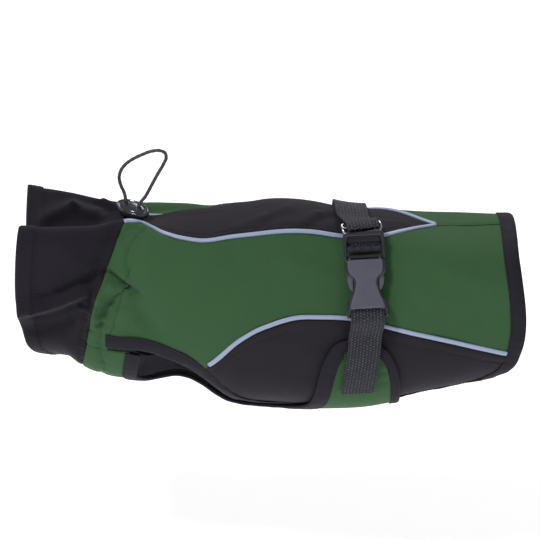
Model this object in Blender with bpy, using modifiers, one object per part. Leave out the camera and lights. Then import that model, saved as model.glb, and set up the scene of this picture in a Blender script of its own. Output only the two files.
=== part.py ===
"""Softshell coat for a small dog, held open as it is worn, in its cut and sewn pieces.

The coat is a tube of softshell cloth with its neck towards -X, its hem towards +X and +Z up.
A place on the cloth is given by two numbers:
  u     millimetres along the back from the neck seam (the collar is at negative u);
  turn  share of the half girth from the spine (0) to the belly line (1), positive on the
        wearer's left side (-Y) and negative on the right side (+Y).
RINGS holds the sections, `surface` turns (u, turn) into a point, and every panel, binding and
strap is a patch of that surface, lifted off it by what it lies on.
Tables are in millimetres; MM turns them into Blender's metres.
The origin is on the inside of the back, where the coat lies on the wearer.
"""

import math

import bmesh
import bpy
import numpy as np
from mathutils import Matrix, Vector

MM = 0.001

# ---------------------------------------------------------------- driving sizes, millimetres

WALL = 1.6  # softshell cloth
SEAM = 0.5  # space between two pieces that are sewn together
HALF_SEAM = SEAM / 2
EDGE_SEAM = 0.75  # the same between a panel and the thicker binding round it
COLLAR_TOP = -74.0  # u of the collar's rim
HEM = 292.0  # u of the hem's edge
BINDING_WIDTH = 12.0
WING_BINDING = 7.5  # width of the flap's binding from the top of its wing backwards
BINDING_PROUD = 0.6  # how far a binding stands above the panel that it edges
BINDING_THICK = WALL + 2 * BINDING_PROUD
PIPING_RADIUS = 1.45
PIPING_GAP = PIPING_RADIUS + 0.85  # from a piping's middle to the cloth on each side of it
FLAP_LIFT = 3.4  # the belly flap's outer face, above the panels that it lies on
WEBBING_WIDTH = 25.0
WEBBING_THICK = 1.4
STRAP_LIFT = 3.4  # the back strap's outer face, clear of the pipings that it crosses
WING_STRAP_LIFT = 6.0  # the same where it lies on a wing of the flap
CORD_DIAMETER = 2.6

# ---------------------------------------------------------------- the coat's sections

RING_COLUMNS = (
    "u", "x_top", "x_side", "x_belly", "x_keel", "crown_z", "ridge_y", "ridge_z",
    "side_y", "side_z", "belly_y", "belly_z", "keel_z",
)
RINGS = (  # collar rim, collar, collar, neck seam, shoulder, leg holes (3), crest, strap, point, hem
    (-74, -192, -196, -187, -174, -28.0, 36, -0.5, 47, -55, 31, -103, -117),
    (-40, -158, -165, -162, -158, -22.0, 31, -3.0, 45, -57, 31, -106, -120),
    (-18, -136, -151.5, -156, -157, -16.0, 25, -5.0, 43, -58, 31, -110, -122),
    (0, -117, -138.5, -149.5, -152, -9.0, 18, -4.0, 41, -60, 32, -113, -126),
    (23, -95, -110, -124, -128, -9.5, 30, -9.0, 50, -64, 33, -123, -136),
    (40, -78, -91, -103, -106, -7.0, 33, -11.0, 54, -68, 34, -125, -136),
    (58, -60, -68, -76, -78, -5.0, 35, -12.0, 57, -72, 36, -121, -128),
    (88, -30, -33, -36, -37, -1.0, 32, -8.0, 59, -75, 40, -138, -149),
    (118, 0, 0, 0, 0, 1.6, 28, -5.5, 59, -74, 42, -140, -156),
    (174, 56, 56, 56, 56, -5.0, 26, -11.0, 55, -76, 42, -141, -156),
    (233, 115, 115, 115, 115, -14.5, 36, -19.5, 58, -76, 42, -129, -143),
    (292, 174, 179.5, 172, 170, -13.0, 36, -21.5, 57, -72, 40, -118, -128),
)
RING = {name: np.array([row[i] for row in RINGS], float) for i, name in enumerate(RING_COLUMNS)}
# Turn at which a section passes its crown, ridge, side, belly corner and keel.
TURN_KNOTS = np.array((0.0, 0.16, 0.48, 0.80, 1.0))
CROWN, RIDGE, SIDE, BELLY, KEEL = range(5)

LEFT, RIGHT, BOTH = 1, -1, 0
FOLD_COLUMNS = ("side", "u_from", "turn_from", "u_to", "turn_to", "width", "height")
FOLDS = (  # height above the cloth, below it where negative
    (LEFT, -76, 0.545, -18, 0.440, 6, 4.5),  # collar, ridge from the rim to the neck
    (LEFT, -50, 0.475, -10, 0.390, 8, -5.0),  # collar, valley above that ridge
    (LEFT, -14, 0.500, -2, 0.520, 5, 2.0),  # collar, gathers at the neck seam
    (LEFT, -30, 0.640, -4, 0.660, 12, -1.5),
    (LEFT, -76, 0.650, -24, 0.560, 11, -4.0),  # collar, hollow below the ridge
    (RIGHT, -60, 0.072, -38, 0.104, 5, 3.8),  # collar, arched fold in the dip
    (RIGHT, -38, 0.104, -22, 0.080, 5, 3.5),
    (RIGHT, -70, 0.430, -16, 0.520, 9, 3.0),
    (RIGHT, -48, 0.600, -6, 0.560, 9, -3.5),
    (LEFT, 3, 0.245, 10, 0.160, 4, -3.0),  # shoulder, wedge under the piping
    (LEFT, 1, 0.372, 20, 0.405, 4, -4.5),  # shoulder, deep crease from the neck seam
    (LEFT, 7, 0.405, 2, 0.460, 4, 3.5),  # shoulder, rolled fold below the crease
    (LEFT, 2, 0.460, 4, 0.540, 4, 3.0),
    (LEFT, 9, 0.440, 8, 0.520, 4, -3.0),
    (LEFT, 26, 0.430, 36, 0.510, 9, -3.0),
    (RIGHT, 1, 0.330, 22, 0.370, 5, -3.5),
    (RIGHT, 3, 0.420, 6, 0.520, 4, 3.0),
    (RIGHT, 20, 0.480, 40, 0.540, 11, -2.0),
    (RIGHT, 18, 0.060, 60, 0.092, 6, -3.0),  # shoulder, dip that the piping lies in
    (RIGHT, 66, 0.140, 90, 0.140, 13, -2.2),
    (BOTH, 2, 0.830, 10, 0.860, 4, -2.0),  # chest, pucker under the channel
    (BOTH, 168, 0.050, 182, 0.480, 20, -2.0),  # the strap pulls the coat in
)
FOLD_GIRTH = 215.0  # millimetres of cloth in one whole turn, for the folds' widths

# ---------------------------------------------------------------- seams and edges, as (u, turn)

UPPER_SEAM = (  # piping between the back panel and the left side
    (0, 0.165), (8, 0.120), (14, 0.088), (20, 0.098), (28, 0.130), (38, 0.150), (50, 0.158),
    (76, 0.165), (100, 0.172), (140, 0.174), (160, 0.176), (178, 0.163), (192, 0.138),
    (206, 0.088), (221, 0.035), (232, 0.004),
)
UPPER_SEAM_RIGHT = (  # nearer to the middle behind the neck, where the coat is drawn to one side
    (0, 0.165), (8, 0.110), (14, 0.066), (20, 0.052), (30, 0.054), (40, 0.062), (50, 0.074),
    (60, 0.096), (70, 0.128), (80, 0.158), (92, 0.180), (110, 0.192), (140, 0.194),
    (160, 0.186), (178, 0.163), (192, 0.138), (206, 0.088), (221, 0.035), (232, 0.004),
)
BACK_POINT = 232.0  # u where the back panel ends in a point
PANEL_SHORT = 6.0  # how far before that the panel stops, where its pipings close up
PIPING_SHORT = 3.0
LOWER_SEAM = (  # piping between a side and its lower panel
    (66, 0.690), (72, 0.637), (84, 0.542), (97, 0.485), (112, 0.455), (126, 0.438), (146, 0.435),
    (166, 0.438), (194, 0.462), (236, 0.513), (283, 0.614),
)
CHEST_SEAM = ((0, 0.672), (12, 0.663), (22, 0.648), (36, 0.628))
FREE_EDGE = (  # the side's leg hole, then the lower panel's belly edge, then the hem to the spine
    (13, 0.652), (22, 0.641), (32, 0.626), (40, 0.627), (50, 0.655), (60, 0.698), (70, 0.745),
    (80, 0.795), (90, 0.838), (102, 0.868), (118, 0.882), (145, 0.892), (190, 0.900),
    (235, 0.892), (258, 0.868), (274, 0.825), (286, 0.760), (291, 0.690), (292, 0.620),
    (292, 0.450), (292, 0.250), (292, 0.100), (292, 0.0),
)
FLAP_EDGE = (  # the belly flap, from the chest seam down, back between the legs and round a wing
    (34.5, 0.645), (35, 0.720), (37, 0.800), (45, 0.842), (62, 0.848), (100, 0.850),
    (122, 0.842), (134, 0.800), (140, 0.730), (144, 0.640), (149, 0.570), (157, 0.524),
    (169, 0.510), (183, 0.516), (195, 0.545), (202, 0.595), (205, 0.660), (205.5, 0.760),
    (205, 0.880), (205, 1.0),
)
FLAP_LIFT_ROWS = ((0, 0.0), (36, 0.0), (60, 1.6), (84, FLAP_LIFT), (HEM, FLAP_LIFT))
STRAP_LIFT_ROWS = (  # (turn, lift)
    (0.10, 2.6), (0.15, STRAP_LIFT), (0.42, STRAP_LIFT), (0.50, WING_STRAP_LIFT),
)
STRAP_MIDDLE = (  # (turn, u) of the strap's middle from the right wing over the back
    (-0.695, 170.0), (-0.5, 167.0), (-0.2, 168.0), (0.0, 169.0), (0.06, 170.0), (0.15, 175.0),
    (0.42, 179.0), (0.55, 178.0), (0.695, 173.5),
)

# ---------------------------------------------------------------- curves through tables


def cubic(at, knots, values, slopes):
    """Cubic through (knots, values) with the given slopes, read at `at`."""
    low = np.clip(np.searchsorted(knots, at) - 1, 0, len(knots) - 2)
    step = knots[low + 1] - knots[low]
    t = (at - knots[low]) / step
    return (
        (1 + 2 * t) * (1 - t) ** 2 * values[low]
        + t * (1 - t) ** 2 * step * slopes[low]
        + t * t * (3 - 2 * t) * values[low + 1]
        + t * t * (t - 1) * step * slopes[low + 1]
    )


def smooth(at, knots, values):
    """Smooth curve through a table: each knot's slope is the one of the parabola through its
    neighbours."""
    knots, values = np.asarray(knots, float), np.asarray(values, float)
    step = np.diff(knots)
    chord = np.diff(values) / step
    slopes = np.concatenate([chord[:1], chord, chord[-1:]])[: len(knots)]
    slopes[1:-1] = (step[1:] * chord[:-1] + step[:-1] * chord[1:]) / (step[1:] + step[:-1])
    slopes[-1] = chord[-1]
    return cubic(at, knots, values, slopes)


def run_lengths(line):
    """Millimetres of cloth from the line's start to each of its (u, turn) places."""
    legs = np.hypot(np.diff(line[:, 0]), np.diff(line[:, 1]) * FOLD_GIRTH)
    return np.concatenate([[0.0], np.cumsum(legs)])


def along(rows, count):
    """`count` places spread evenly along the smooth line through (u, turn) rows."""
    rows = np.array(rows, float)
    reach = run_lengths(rows)
    at = np.linspace(0, reach[-1], count)
    return np.stack([smooth(at, reach, rows[:, 0]), smooth(at, reach, rows[:, 1])], axis=-1)


# ---------------------------------------------------------------- the cloth's surface


def half_section(u, turn):
    """Points of the right half (Y >= 0), millimetres: a cubic through the section's crown, ridge,
    side, belly corner and keel, level where it crosses the middle plane."""
    column = {name: smooth(u, RING["u"], RING[name]) for name in RING_COLUMNS[1:]}
    level = np.zeros_like(u)
    stops = np.array([
        [column["x_top"], level, column["crown_z"]],
        [column["x_top"], column["ridge_y"], column["ridge_z"]],
        [column["x_side"], column["side_y"], column["side_z"]],
        [column["x_belly"], column["belly_y"], column["belly_z"]],
        [column["x_keel"], level, column["keel_z"]],
    ])
    step = np.diff(TURN_KNOTS)
    wide = step.reshape(-1, *([1] * (stops.ndim - 1)))
    chord = np.diff(stops, axis=0) / wide
    slope = np.zeros_like(stops)
    slope[1:-1] = (wide[1:] * chord[:-1] + wide[:-1] * chord[1:]) / (wide[1:] + wide[:-1])
    slope[CROWN, 1] = column["ridge_y"] / step[0]
    slope[KEEL, 1] = -column["belly_y"] / step[-1]
    low = np.clip(np.searchsorted(TURN_KNOTS, turn) - 1, 0, 3)
    t = (turn - TURN_KNOTS[low]) / step[low]

    def pick(values, index):
        return np.take_along_axis(values, np.broadcast_to(index, (1, 3, *index.shape)), 0)[0]

    return (
        (1 + 2 * t) * (1 - t) ** 2 * pick(stops, low)
        + t * (1 - t) ** 2 * step[low] * pick(slope, low)
        + t * t * (3 - 2 * t) * pick(stops, low + 1)
        + t * t * (t - 1) * step[low] * pick(slope, low + 1)
    )


def fold_height(u, turn, side):
    """Sum of the folds: each is a bell across its line, with round ends."""
    height = np.zeros_like(u)
    for row in FOLDS:
        fold = dict(zip(FOLD_COLUMNS, row))
        run = np.array([fold["u_to"] - fold["u_from"],
                        (fold["turn_to"] - fold["turn_from"]) * FOLD_GIRTH])
        away = np.array([u - fold["u_from"], (turn - fold["turn_from"]) * FOLD_GIRTH])
        share = np.clip((away[0] * run[0] + away[1] * run[1]) / (run @ run), 0, 1)
        distance = np.hypot(away[0] - share * run[0], away[1] - share * run[1])
        bell = np.exp(-((distance / fold["width"]) ** 2))
        on_side = 1.0 if fold["side"] == BOTH else (side == fold["side"])
        height += fold["height"] * bell * on_side
    return height


def surface(u, turn, lift=0.0):
    """Point on the coat's outer face, `lift` millimetres off it. A turn past 1 or -1 has crossed
    the belly line onto the other side."""
    u, turn = np.broadcast_arrays(np.asarray(u, float), np.asarray(turn, float))
    crossed = np.abs(turn) > 1
    side = np.where(turn >= 0, LEFT, RIGHT) * np.where(crossed, -1, 1)
    share = np.where(crossed, 2 - np.abs(turn), np.abs(turn))
    near = 1e-3
    point = half_section(u, share)
    ahead = half_section(u + near, share) - half_section(u - near, share)
    onward = half_section(u, share + 1e-4) - half_section(u, share - 1e-4)
    outward = np.cross(ahead, onward, axis=0)
    outward /= np.linalg.norm(outward, axis=0)
    point = point + outward * (fold_height(u, share, side) + lift)
    point[1] *= -side
    return np.moveaxis(point, 0, -1)


def stretch(u, turn):
    """Millimetres of cloth for each unit of u and of turn, at a place."""
    by_u = np.linalg.norm(surface(u + 0.5, turn) - surface(u - 0.5, turn), axis=-1)
    by_turn = np.linalg.norm(surface(u, turn + 5e-4) - surface(u, turn - 5e-4), axis=-1) / 1e-3
    return by_u, by_turn


def beside(line, distance):
    """The line (u, turn) moved sideways by `distance` millimetres, to the left of its run."""
    by_u, by_turn = stretch(line[:, 0], np.clip(line[:, 1], 1e-3, 1 - 1e-3))
    run = np.gradient(line, axis=0) * np.stack([by_u, by_turn], axis=-1)
    run /= np.linalg.norm(run, axis=-1, keepdims=True)
    across = np.stack([-run[:, 1], run[:, 0]], axis=-1)
    return line + distance * across / np.stack([by_u, by_turn], axis=-1)


def ruled(first, last, count):
    """Grid of (u, turn) with straight lines from each place of `first` to its match in `last`."""
    share = np.linspace(0, 1, count)[None, :, None]
    return first[:, None, :] * (1 - share) + last[:, None, :] * share


def flap_lift(u):
    rows = np.array(FLAP_LIFT_ROWS)
    return np.interp(u, rows[:, 0], rows[:, 1])


# ---------------------------------------------------------------- Blender helpers

CLOTH, TRIM = (0.82, 0.0), (0.7, 0.0)  # roughness and metallic value
FINISHES = {  # name: (sRGB colour, (roughness, metallic value))
    "green_softshell": ((60, 97, 63), CLOTH),
    "black_softshell": ((46, 42, 48), CLOTH),
    "collar_softshell": ((40, 38, 48), CLOTH),
    "edge_binding": ((36, 33, 43), TRIM),
    "reflective_piping": ((158, 168, 196), (0.45, 0.0)),
    "webbing": ((52, 52, 60), TRIM),
    "buckle_plastic": ((86, 87, 99), (0.5, 0.0)),
    "lock_plastic": ((22, 22, 26), (0.12, 0.0)),
    "slide_metal": ((205, 208, 214), (0.25, 1.0)),
    "elastic_cord": ((62, 60, 68), TRIM),
}


def clear_scene():
    for old in list(bpy.data.objects):
        bpy.data.objects.remove(old, do_unlink=True)


def collection(name):
    made = bpy.data.collections.new(name)
    bpy.context.scene.collection.children.link(made)
    return made


def linear(channel):
    value = channel / 255
    return value / 12.92 if value <= 0.04045 else ((value + 0.055) / 1.055) ** 2.4


def finish(name):
    """The Principled material of a finish, made on first use."""
    if name in bpy.data.materials:
        return bpy.data.materials[name]
    colour, (roughness, metallic) = FINISHES[name]
    made = bpy.data.materials.new(name)
    made.use_nodes = True
    shader = made.node_tree.nodes["Principled BSDF"]
    rgba = (*(linear(channel) for channel in colour), 1.0)
    shader.inputs["Base Color"].default_value = rgba
    shader.inputs["Roughness"].default_value = roughness
    shader.inputs["Metallic"].default_value = metallic
    made.diffuse_color = rgba
    return made


def add_object(name, data, group, finish_name):
    made = bpy.data.objects.new(name, data)
    group.objects.link(made)
    if finish_name:
        data.materials.append(finish(finish_name))
    return made


def sheet(name, points, thickness, group, finish_name):
    """Sheet of cloth: a grid of points (millimetres) on its outer face, given its thickness
    inwards by Solidify."""
    rows, columns = points.shape[:2]
    index = np.arange(rows * columns).reshape(rows, columns)
    corners = (index[:-1, :-1], index[:-1, 1:], index[1:, 1:], index[1:, :-1])
    faces = np.stack(corners, axis=-1).reshape(-1, 4)
    mesh = bpy.data.meshes.new(name)
    mesh.from_pydata((points.reshape(-1, 3) * MM).tolist(), [], faces.tolist())
    mesh.shade_smooth()
    made = add_object(name, mesh, group, finish_name)
    wall = made.modifiers.new("wall", "SOLIDIFY")
    wall.thickness = thickness * MM
    wall.offset = -1
    wall.use_even_offset = False
    return made


def cloth(name, grid, group, finish_name, lift=0.0, thickness=WALL):
    """Patch of the coat's surface over a grid of (u, turn)."""
    points = surface(grid[..., 0], grid[..., 1], lift)
    normal = np.cross(points[1, 0] - points[0, 0], points[0, 1] - points[0, 0])
    outward = surface(*grid[0, 0], 1.0) - surface(*grid[0, 0])
    if normal @ outward > 0:
        points = points[:, ::-1]
    return sheet(name, points, thickness, group, finish_name)


def tube(name, points, radius, group, finish_name, resolution=2):
    """Round cord along points (millimetres), with closed ends."""
    line = bpy.data.curves.new(name, "CURVE")
    line.dimensions = "3D"
    line.bevel_depth = radius * MM
    line.bevel_resolution = resolution
    line.use_fill_caps = True
    spline = line.splines.new("POLY")
    spline.points.add(len(points) - 1)
    for place, point in zip(spline.points, points):
        place.co = (*(point * MM), 1.0)
    return add_object(name, line, group, finish_name)


def plate(name, outlines, low, high, group, finish_name, frame):
    """Flat plate from `low` to `high` along its frame's Z: the first outline is its edge and the
    others are holes, all in millimetres on the frame's X and Y."""
    outline = bpy.data.curves.new(name + "_outline", "CURVE")
    outline.dimensions = "2D"
    outline.fill_mode = "BOTH"
    outline.extrude = (high - low) / 2 * MM
    for loop in outlines:
        spline = outline.splines.new("POLY")
        spline.points.add(len(loop) - 1)
        for place, (x, y) in zip(spline.points, loop):
            place.co = (x * MM, y * MM, 0.0, 1.0)
        spline.use_cyclic_u = True
    guide = add_object(name + "_outline", outline, group, None)
    bpy.context.view_layer.update()
    graph = bpy.context.evaluated_depsgraph_get()
    mesh = bpy.data.meshes.new_from_object(guide.evaluated_get(graph))
    bpy.data.objects.remove(guide, do_unlink=True)
    weld(mesh)
    mesh.name = name
    made = add_object(name, mesh, group, finish_name)
    made.matrix_world = frame @ Matrix.Translation((0, 0, (low + high) / 2 * MM))
    return made


def weld(mesh):
    work = bmesh.new()
    work.from_mesh(mesh)
    bmesh.ops.remove_doubles(work, verts=work.verts, dist=1e-6)
    bmesh.ops.recalc_face_normals(work, faces=work.faces)
    work.to_mesh(mesh)
    work.free()


def block(name, low, high, group, frame, finish_name=None):
    """Box between two corners given in millimetres in a frame."""
    low, high = Vector(low) * MM, Vector(high) * MM
    work = bmesh.new()
    bmesh.ops.create_cube(work, size=1.0)
    mesh = bpy.data.meshes.new(name)
    bmesh.ops.scale(work, vec=high - low, verts=work.verts)
    work.to_mesh(mesh)
    work.free()
    made = add_object(name, mesh, group, finish_name)
    made.matrix_world = frame @ Matrix.Translation((low + high) / 2)
    return made


def rod(name, radius, length, group, frame, sides=20):
    """Cylinder about the frame's Z, centred on its origin, millimetres."""
    work = bmesh.new()
    bmesh.ops.create_cone(
        work, cap_ends=True, segments=sides, radius1=radius * MM, radius2=radius * MM,
        depth=length * MM,
    )
    mesh = bpy.data.meshes.new(name)
    work.to_mesh(mesh)
    work.free()
    made = add_object(name, mesh, group, None)
    made.matrix_world = frame
    return made


def cut(target, cutter):
    """Takes the cutter's shape out of the target."""
    cutter.hide_render = True
    cutter.display_type = "WIRE"
    cut_out = target.modifiers.new("cut " + cutter.name, "BOOLEAN")
    cut_out.operation = "DIFFERENCE"
    cut_out.object = cutter


def rounded(left, bottom, right, top, radius, steps=3):
    """Outline of a rectangle with round corners."""
    centres = (
        (right - radius, top - radius, 0), (left + radius, top - radius, 90),
        (left + radius, bottom + radius, 180), (right - radius, bottom + radius, 270),
    )
    return [
        (x + radius * math.cos(math.radians(start + 90 * k / steps)),
         y + radius * math.sin(math.radians(start + 90 * k / steps)))
        for x, y, start in centres for k in range(steps + 1)
    ]


# ---------------------------------------------------------------- lines that pieces share

SIDES = (("left", LEFT), ("right", RIGHT))
HEM_INNER = HEM - BINDING_WIDTH - EDGE_SEAM
LEG_END = 88.0  # u where the leg hole's binding meets the hem binding
MEET = 72.5  # u where the lower seam reaches the leg hole's binding
MEET_CLEAR = 2.5  # how far from there the panels on each side of it stop
LOWER_CORNER = 0.655  # turn of the lower panel's corner at the hem
EDGE_PLACES = 62
FLAP_PLACES = 52
UPPER_TURNS = {LEFT: np.array(UPPER_SEAM).T, RIGHT: np.array(UPPER_SEAM_RIGHT).T}
LOWER_TURN = np.array(LOWER_SEAM).T
CHEST_TURN = np.array(CHEST_SEAM).T


def upper_turn(u, side):
    return np.maximum(smooth(np.minimum(u, BACK_POINT), *UPPER_TURNS[side]), 0.0)


def lower_turn(u):
    return smooth(u, *LOWER_TURN)


def chest_turn(u):
    return smooth(u, *CHEST_TURN)


def turned(line, side):
    """The same line on the other side of the coat, where the side is the right one."""
    return line * np.array((1.0, side))


def across_belly(line):
    """The line mirrored over the belly line, onto turns past 1."""
    return line * np.array((1.0, -1.0)) + np.array((0.0, 2.0))


def off_seam(u, turn, distance):
    """A seam line moved `distance` millimetres towards the belly."""
    return np.stack([u, turn + distance / stretch(u, np.maximum(turn, 1e-3))[1]], axis=-1)


def back_stations(first, last, step_mm=7.5, crowding=1.25):
    """Places along the back, closer together towards the neck."""
    count = int((last - first) / step_mm) + 1
    return first + (last - first) * np.linspace(0, 1, count) ** crowding


def free_edge():
    return along(FREE_EDGE, EDGE_PLACES)


def leg_places(edge):
    """How many of the free edge's places belong to the leg hole's binding."""
    return int(np.argmax(edge[:, 0] > LEG_END)) + 1


# ---------------------------------------------------------------- cloth pieces


def make_collar(group):
    """Two halves, joined on the middle plane at the back and at the throat."""
    u = back_stations(-SEAM, COLLAR_TOP, -6.5, 1.15)
    for name, side in SIDES:
        edge = HALF_SEAM / stretch(u, np.full_like(u, 1e-3))[1]
        keel = HALF_SEAM / stretch(u, np.full_like(u, 1 - 1e-3))[1]
        first = np.stack([u, edge], axis=-1)
        last = np.stack([u, 1 - keel], axis=-1)
        grid = ruled(first, last, 23) * np.array((1.0, side))
        cloth(f"collar_{name}", grid, group, "collar_softshell")


def make_back_panel(group):
    """Leaf between the two upper pipings, ending in a point above the hips."""
    u = back_stations(HALF_SEAM, BACK_POINT - PANEL_SHORT)
    left, right = (off_seam(u, upper_turn(u, side), -PIPING_GAP) for side in (LEFT, RIGHT))
    grid = ruled(turned(right, RIGHT), left, 9)
    cloth("back_panel", grid, group, "black_softshell")


def make_sides(group, edge):
    """Green side: piping or back seam above; chest seam, leg hole and lower piping below."""
    inner = beside(edge, -(BINDING_WIDTH + EDGE_SEAM))
    leg = inner[(inner[:, 0] < MEET - MEET_CLEAR) & (np.arange(len(inner)) < leg_places(edge))]
    chest_u = np.array((SEAM + 0.1, 3.5, leg[0, 0] - EDGE_SEAM))
    chest = off_seam(chest_u, chest_turn(chest_u), -HALF_SEAM)
    lower_u = np.linspace(MEET, HEM_INNER, 26)
    lower = off_seam(lower_u, lower_turn(lower_u), -PIPING_GAP)
    bottom = np.concatenate([chest, leg, lower])
    u = bottom[:, 0]
    gap = np.interp(u, (BACK_POINT - PIPING_SHORT, BACK_POINT + PIPING_SHORT),
                    (PIPING_GAP, HALF_SEAM))
    for name, side in SIDES:
        top = off_seam(u, upper_turn(u, side), gap)
        cloth(f"side_{name}", turned(ruled(top, bottom, 12), side), group, "green_softshell")


def make_lowers(group, edge):
    """Black lower panel: lower piping above, belly edge and hem below and behind."""
    inner = beside(edge, -(BINDING_WIDTH + EDGE_SEAM))
    first_u = MEET + MEET_CLEAR
    bottom = inner[(inner[:, 0] > first_u) & (inner[:, 1] > LOWER_CORNER)]
    reach = run_lengths(bottom)
    top_u = first_u + (HEM_INNER - first_u) * np.minimum(1.04 * reach / reach[-1], 1.0) ** 0.97
    top = off_seam(top_u, lower_turn(top_u), PIPING_GAP)
    for name, side in SIDES:
        grid = turned(ruled(top, bottom, 7), side)
        cloth(f"lower_{name}", grid, group, "black_softshell")


def make_flap(group, outline):
    """T-shaped green piece: chest, strip between the legs, and two wings outside the lowers."""
    inner = beside(outline, flap_width(outline) + EDGE_SEAM)
    rear = inner[-1, 0]
    highest = np.maximum.accumulate(inner[:, 0])
    inner = inner[(inner[:, 0] >= highest - 1e-9) & (inner[:, 0] < rear - SEAM)]
    chest_u = np.linspace(HALF_SEAM, inner[0, 0] - EDGE_SEAM, 5)
    chest = off_seam(chest_u, chest_turn(chest_u), HALF_SEAM)
    last = np.array([[rear - 0.2, inner[-1, 1] + 0.02]])
    near = np.concatenate([chest, inner, last])
    grid = ruled(near, across_belly(near), 11)
    cloth("belly_flap", grid, group, "green_softshell", lift=flap_lift(grid[..., 0]))


def flap_width(outline):
    """Width of the flap's binding at each place of its outline."""
    return np.interp(outline[:, :1], (152.0, 168.0), (BINDING_WIDTH, WING_BINDING))


def shortened(line):
    """The line with its last place drawn back by a seam's space."""
    step = line[-1] - line[-2]
    length = run_lengths(line[-2:])[-1]
    return np.concatenate([line[:-1], [line[-1] - step * (EDGE_SEAM / length)]])


def band(name, outer, inner, group, lift=0.0, finish_name="edge_binding"):
    grid = np.stack([outer, inner], axis=1)
    raised = lift + BINDING_PROUD
    cloth(name, grid, group, finish_name, lift=raised, thickness=BINDING_THICK)


def make_bindings(group, edge, outline):
    """Bindings of the leg holes, of the belly edges and hem in one run, and of the flap."""
    inner = beside(edge, -BINDING_WIDTH)
    cut_at = leg_places(edge)
    for name, side in SIDES:
        leg_outer, leg_inner = shortened(edge[:cut_at]), shortened(inner[:cut_at])
        band(f"leg_binding_{name}", turned(leg_outer, side), turned(leg_inner, side), group)
    outer_run, inner_run = edge[cut_at - 1 :], inner[cut_at - 1 :]
    outer_run = np.concatenate([outer_run, turned(outer_run[:-1], RIGHT)[::-1]])
    inner_run = np.concatenate([inner_run, turned(inner_run[:-1], RIGHT)[::-1]])
    band("hem_binding", outer_run, inner_run, group)
    flap_inner = beside(outline, flap_width(outline))
    outer_run = np.concatenate([outline, across_belly(outline[:-1])[::-1]])
    inner_run = np.concatenate([flap_inner, across_belly(flap_inner[:-1])[::-1]])
    band("flap_binding", outer_run, inner_run, group, lift=flap_lift(outer_run[:, :1]))


def make_pipings(group):
    for name, side in SIDES:
        u = back_stations(1.0, BACK_POINT - PIPING_SHORT, 6.5)
        line = surface(u, upper_turn(u, side) * side)
        tube(f"piping_upper_{name}", line, PIPING_RADIUS, group, "reflective_piping", 1)
        u = np.linspace(MEET + 1.8, HEM_INNER - 0.6, 30)
        line = surface(u, lower_turn(u) * side)
        tube(f"piping_lower_{name}", line, PIPING_RADIUS, group, "reflective_piping", 1)


# ---------------------------------------------------------------- strap and buckle

BUCKLE_LENGTH = 64.0
BUCKLE_TURN = (0.164, 0.447)  # turn of its upper and lower end
BUCKLE_CLEAR = 0.5  # from its back to the fullest cloth under it
STRAP_TURN, STRAP_U = np.array(STRAP_MIDDLE).T
STRAP_LEAVES = 0.045  # turn where the strap leaves the cloth for the buckle
MALE_DEPTH = (3.2, 7.2)  # low and high face of the male plate, above the buckle's back
FEMALE_DEPTH = (0.4, 10.0)
BAR = (12.5, 5.2)  # how far down and how high the bar lies that the strap turns round
BAR_RADIUS = 2.9  # of the strap's inner face round that bar
HALF_SLOT = WEBBING_WIDTH / 2 + 0.5
SLIDE_SIZE = (30.4, 10.5)
SLIDE_THICK = 2.0


def strap_u(turn):
    return smooth(turn, STRAP_TURN, STRAP_U)


def frame_of(origin, across, upward):
    """Matrix of a frame with X across the strap, Y up along it and Z away from the cloth."""
    y = upward / np.linalg.norm(upward)
    z = np.cross(across, y)
    z /= np.linalg.norm(z)
    x = np.cross(y, z)
    frame = Matrix.Identity(4)
    for column, axis in enumerate((x, y, z, origin * MM)):
        for row in range(3):
            frame[row][column] = axis[row]
    return frame


def in_frame(frame, points):
    """Points given in a frame, as world points; all in millimetres."""
    world = np.array(frame)
    return points @ world[:3, :3].T + world[:3, 3] / MM


def buckle_frame():
    """The buckle's back lies on the chord between its two ends, moved clear of the cloth that
    bulges through it."""
    turn = np.linspace(*BUCKLE_TURN, 25)
    path = surface(strap_u(turn), turn)
    frame = frame_of(path[0], np.array((1.0, 0.0, 0.0)), path[0] - path[-1])
    outward = np.array(frame)[:3, 2]
    bulge = max(
        float(((surface(strap_u(turn) + aside, turn) - path[0]) @ outward).max())
        for aside in (-WEBBING_WIDTH / 2, 0.0, WEBBING_WIDTH / 2)
    )
    middle = surface(strap_u(np.mean(BUCKLE_TURN)), np.mean(BUCKLE_TURN))
    upward = np.array(frame)[:3, 1]
    top = middle + upward * BUCKLE_LENGTH / 2
    top += outward * ((path[0] - top) @ outward + bulge + BUCKLE_CLEAR)
    return frame_of(top, np.array((1.0, 0.0, 0.0)), path[0] - path[-1])


def slide_frame(buckle):
    """The wire slide lies between the cloth behind it and the buckle's upper end."""
    upper = surface(strap_u(STRAP_LEAVES), STRAP_LEAVES, STRAP_LIFT + 4.6)
    lower = in_frame(buckle, np.array((0.0, 1.6, MALE_DEPTH[1] - 0.6)))
    upward = (upper - lower) / np.linalg.norm(upper - lower)
    middle = lower + upward * SLIDE_SIZE[1] / 2
    return frame_of(middle, np.array((1.0, 0.0, 0.0)), upward)


def ribbon(path, frame, half_width=WEBBING_WIDTH / 2):
    """Rows of points across a ribbon whose outer face follows (y, z) places in a frame."""
    across = np.array((half_width, 0.0, -half_width))
    rows = np.array([[(x, y, z) for x in across] for y, z in path])
    return in_frame(frame, rows)


def lying(turns, lifts, half_width=WEBBING_WIDTH / 2):
    """Rows of points across a ribbon that lies on the coat."""
    across = np.array((half_width, 0.0, -half_width))[None, :]
    return surface(strap_u(turns)[:, None] + across, turns[:, None], lifts[:, None])


def strap_lift(turn):
    return np.interp(np.abs(turn), *np.array(STRAP_LIFT_ROWS).T)


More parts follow.
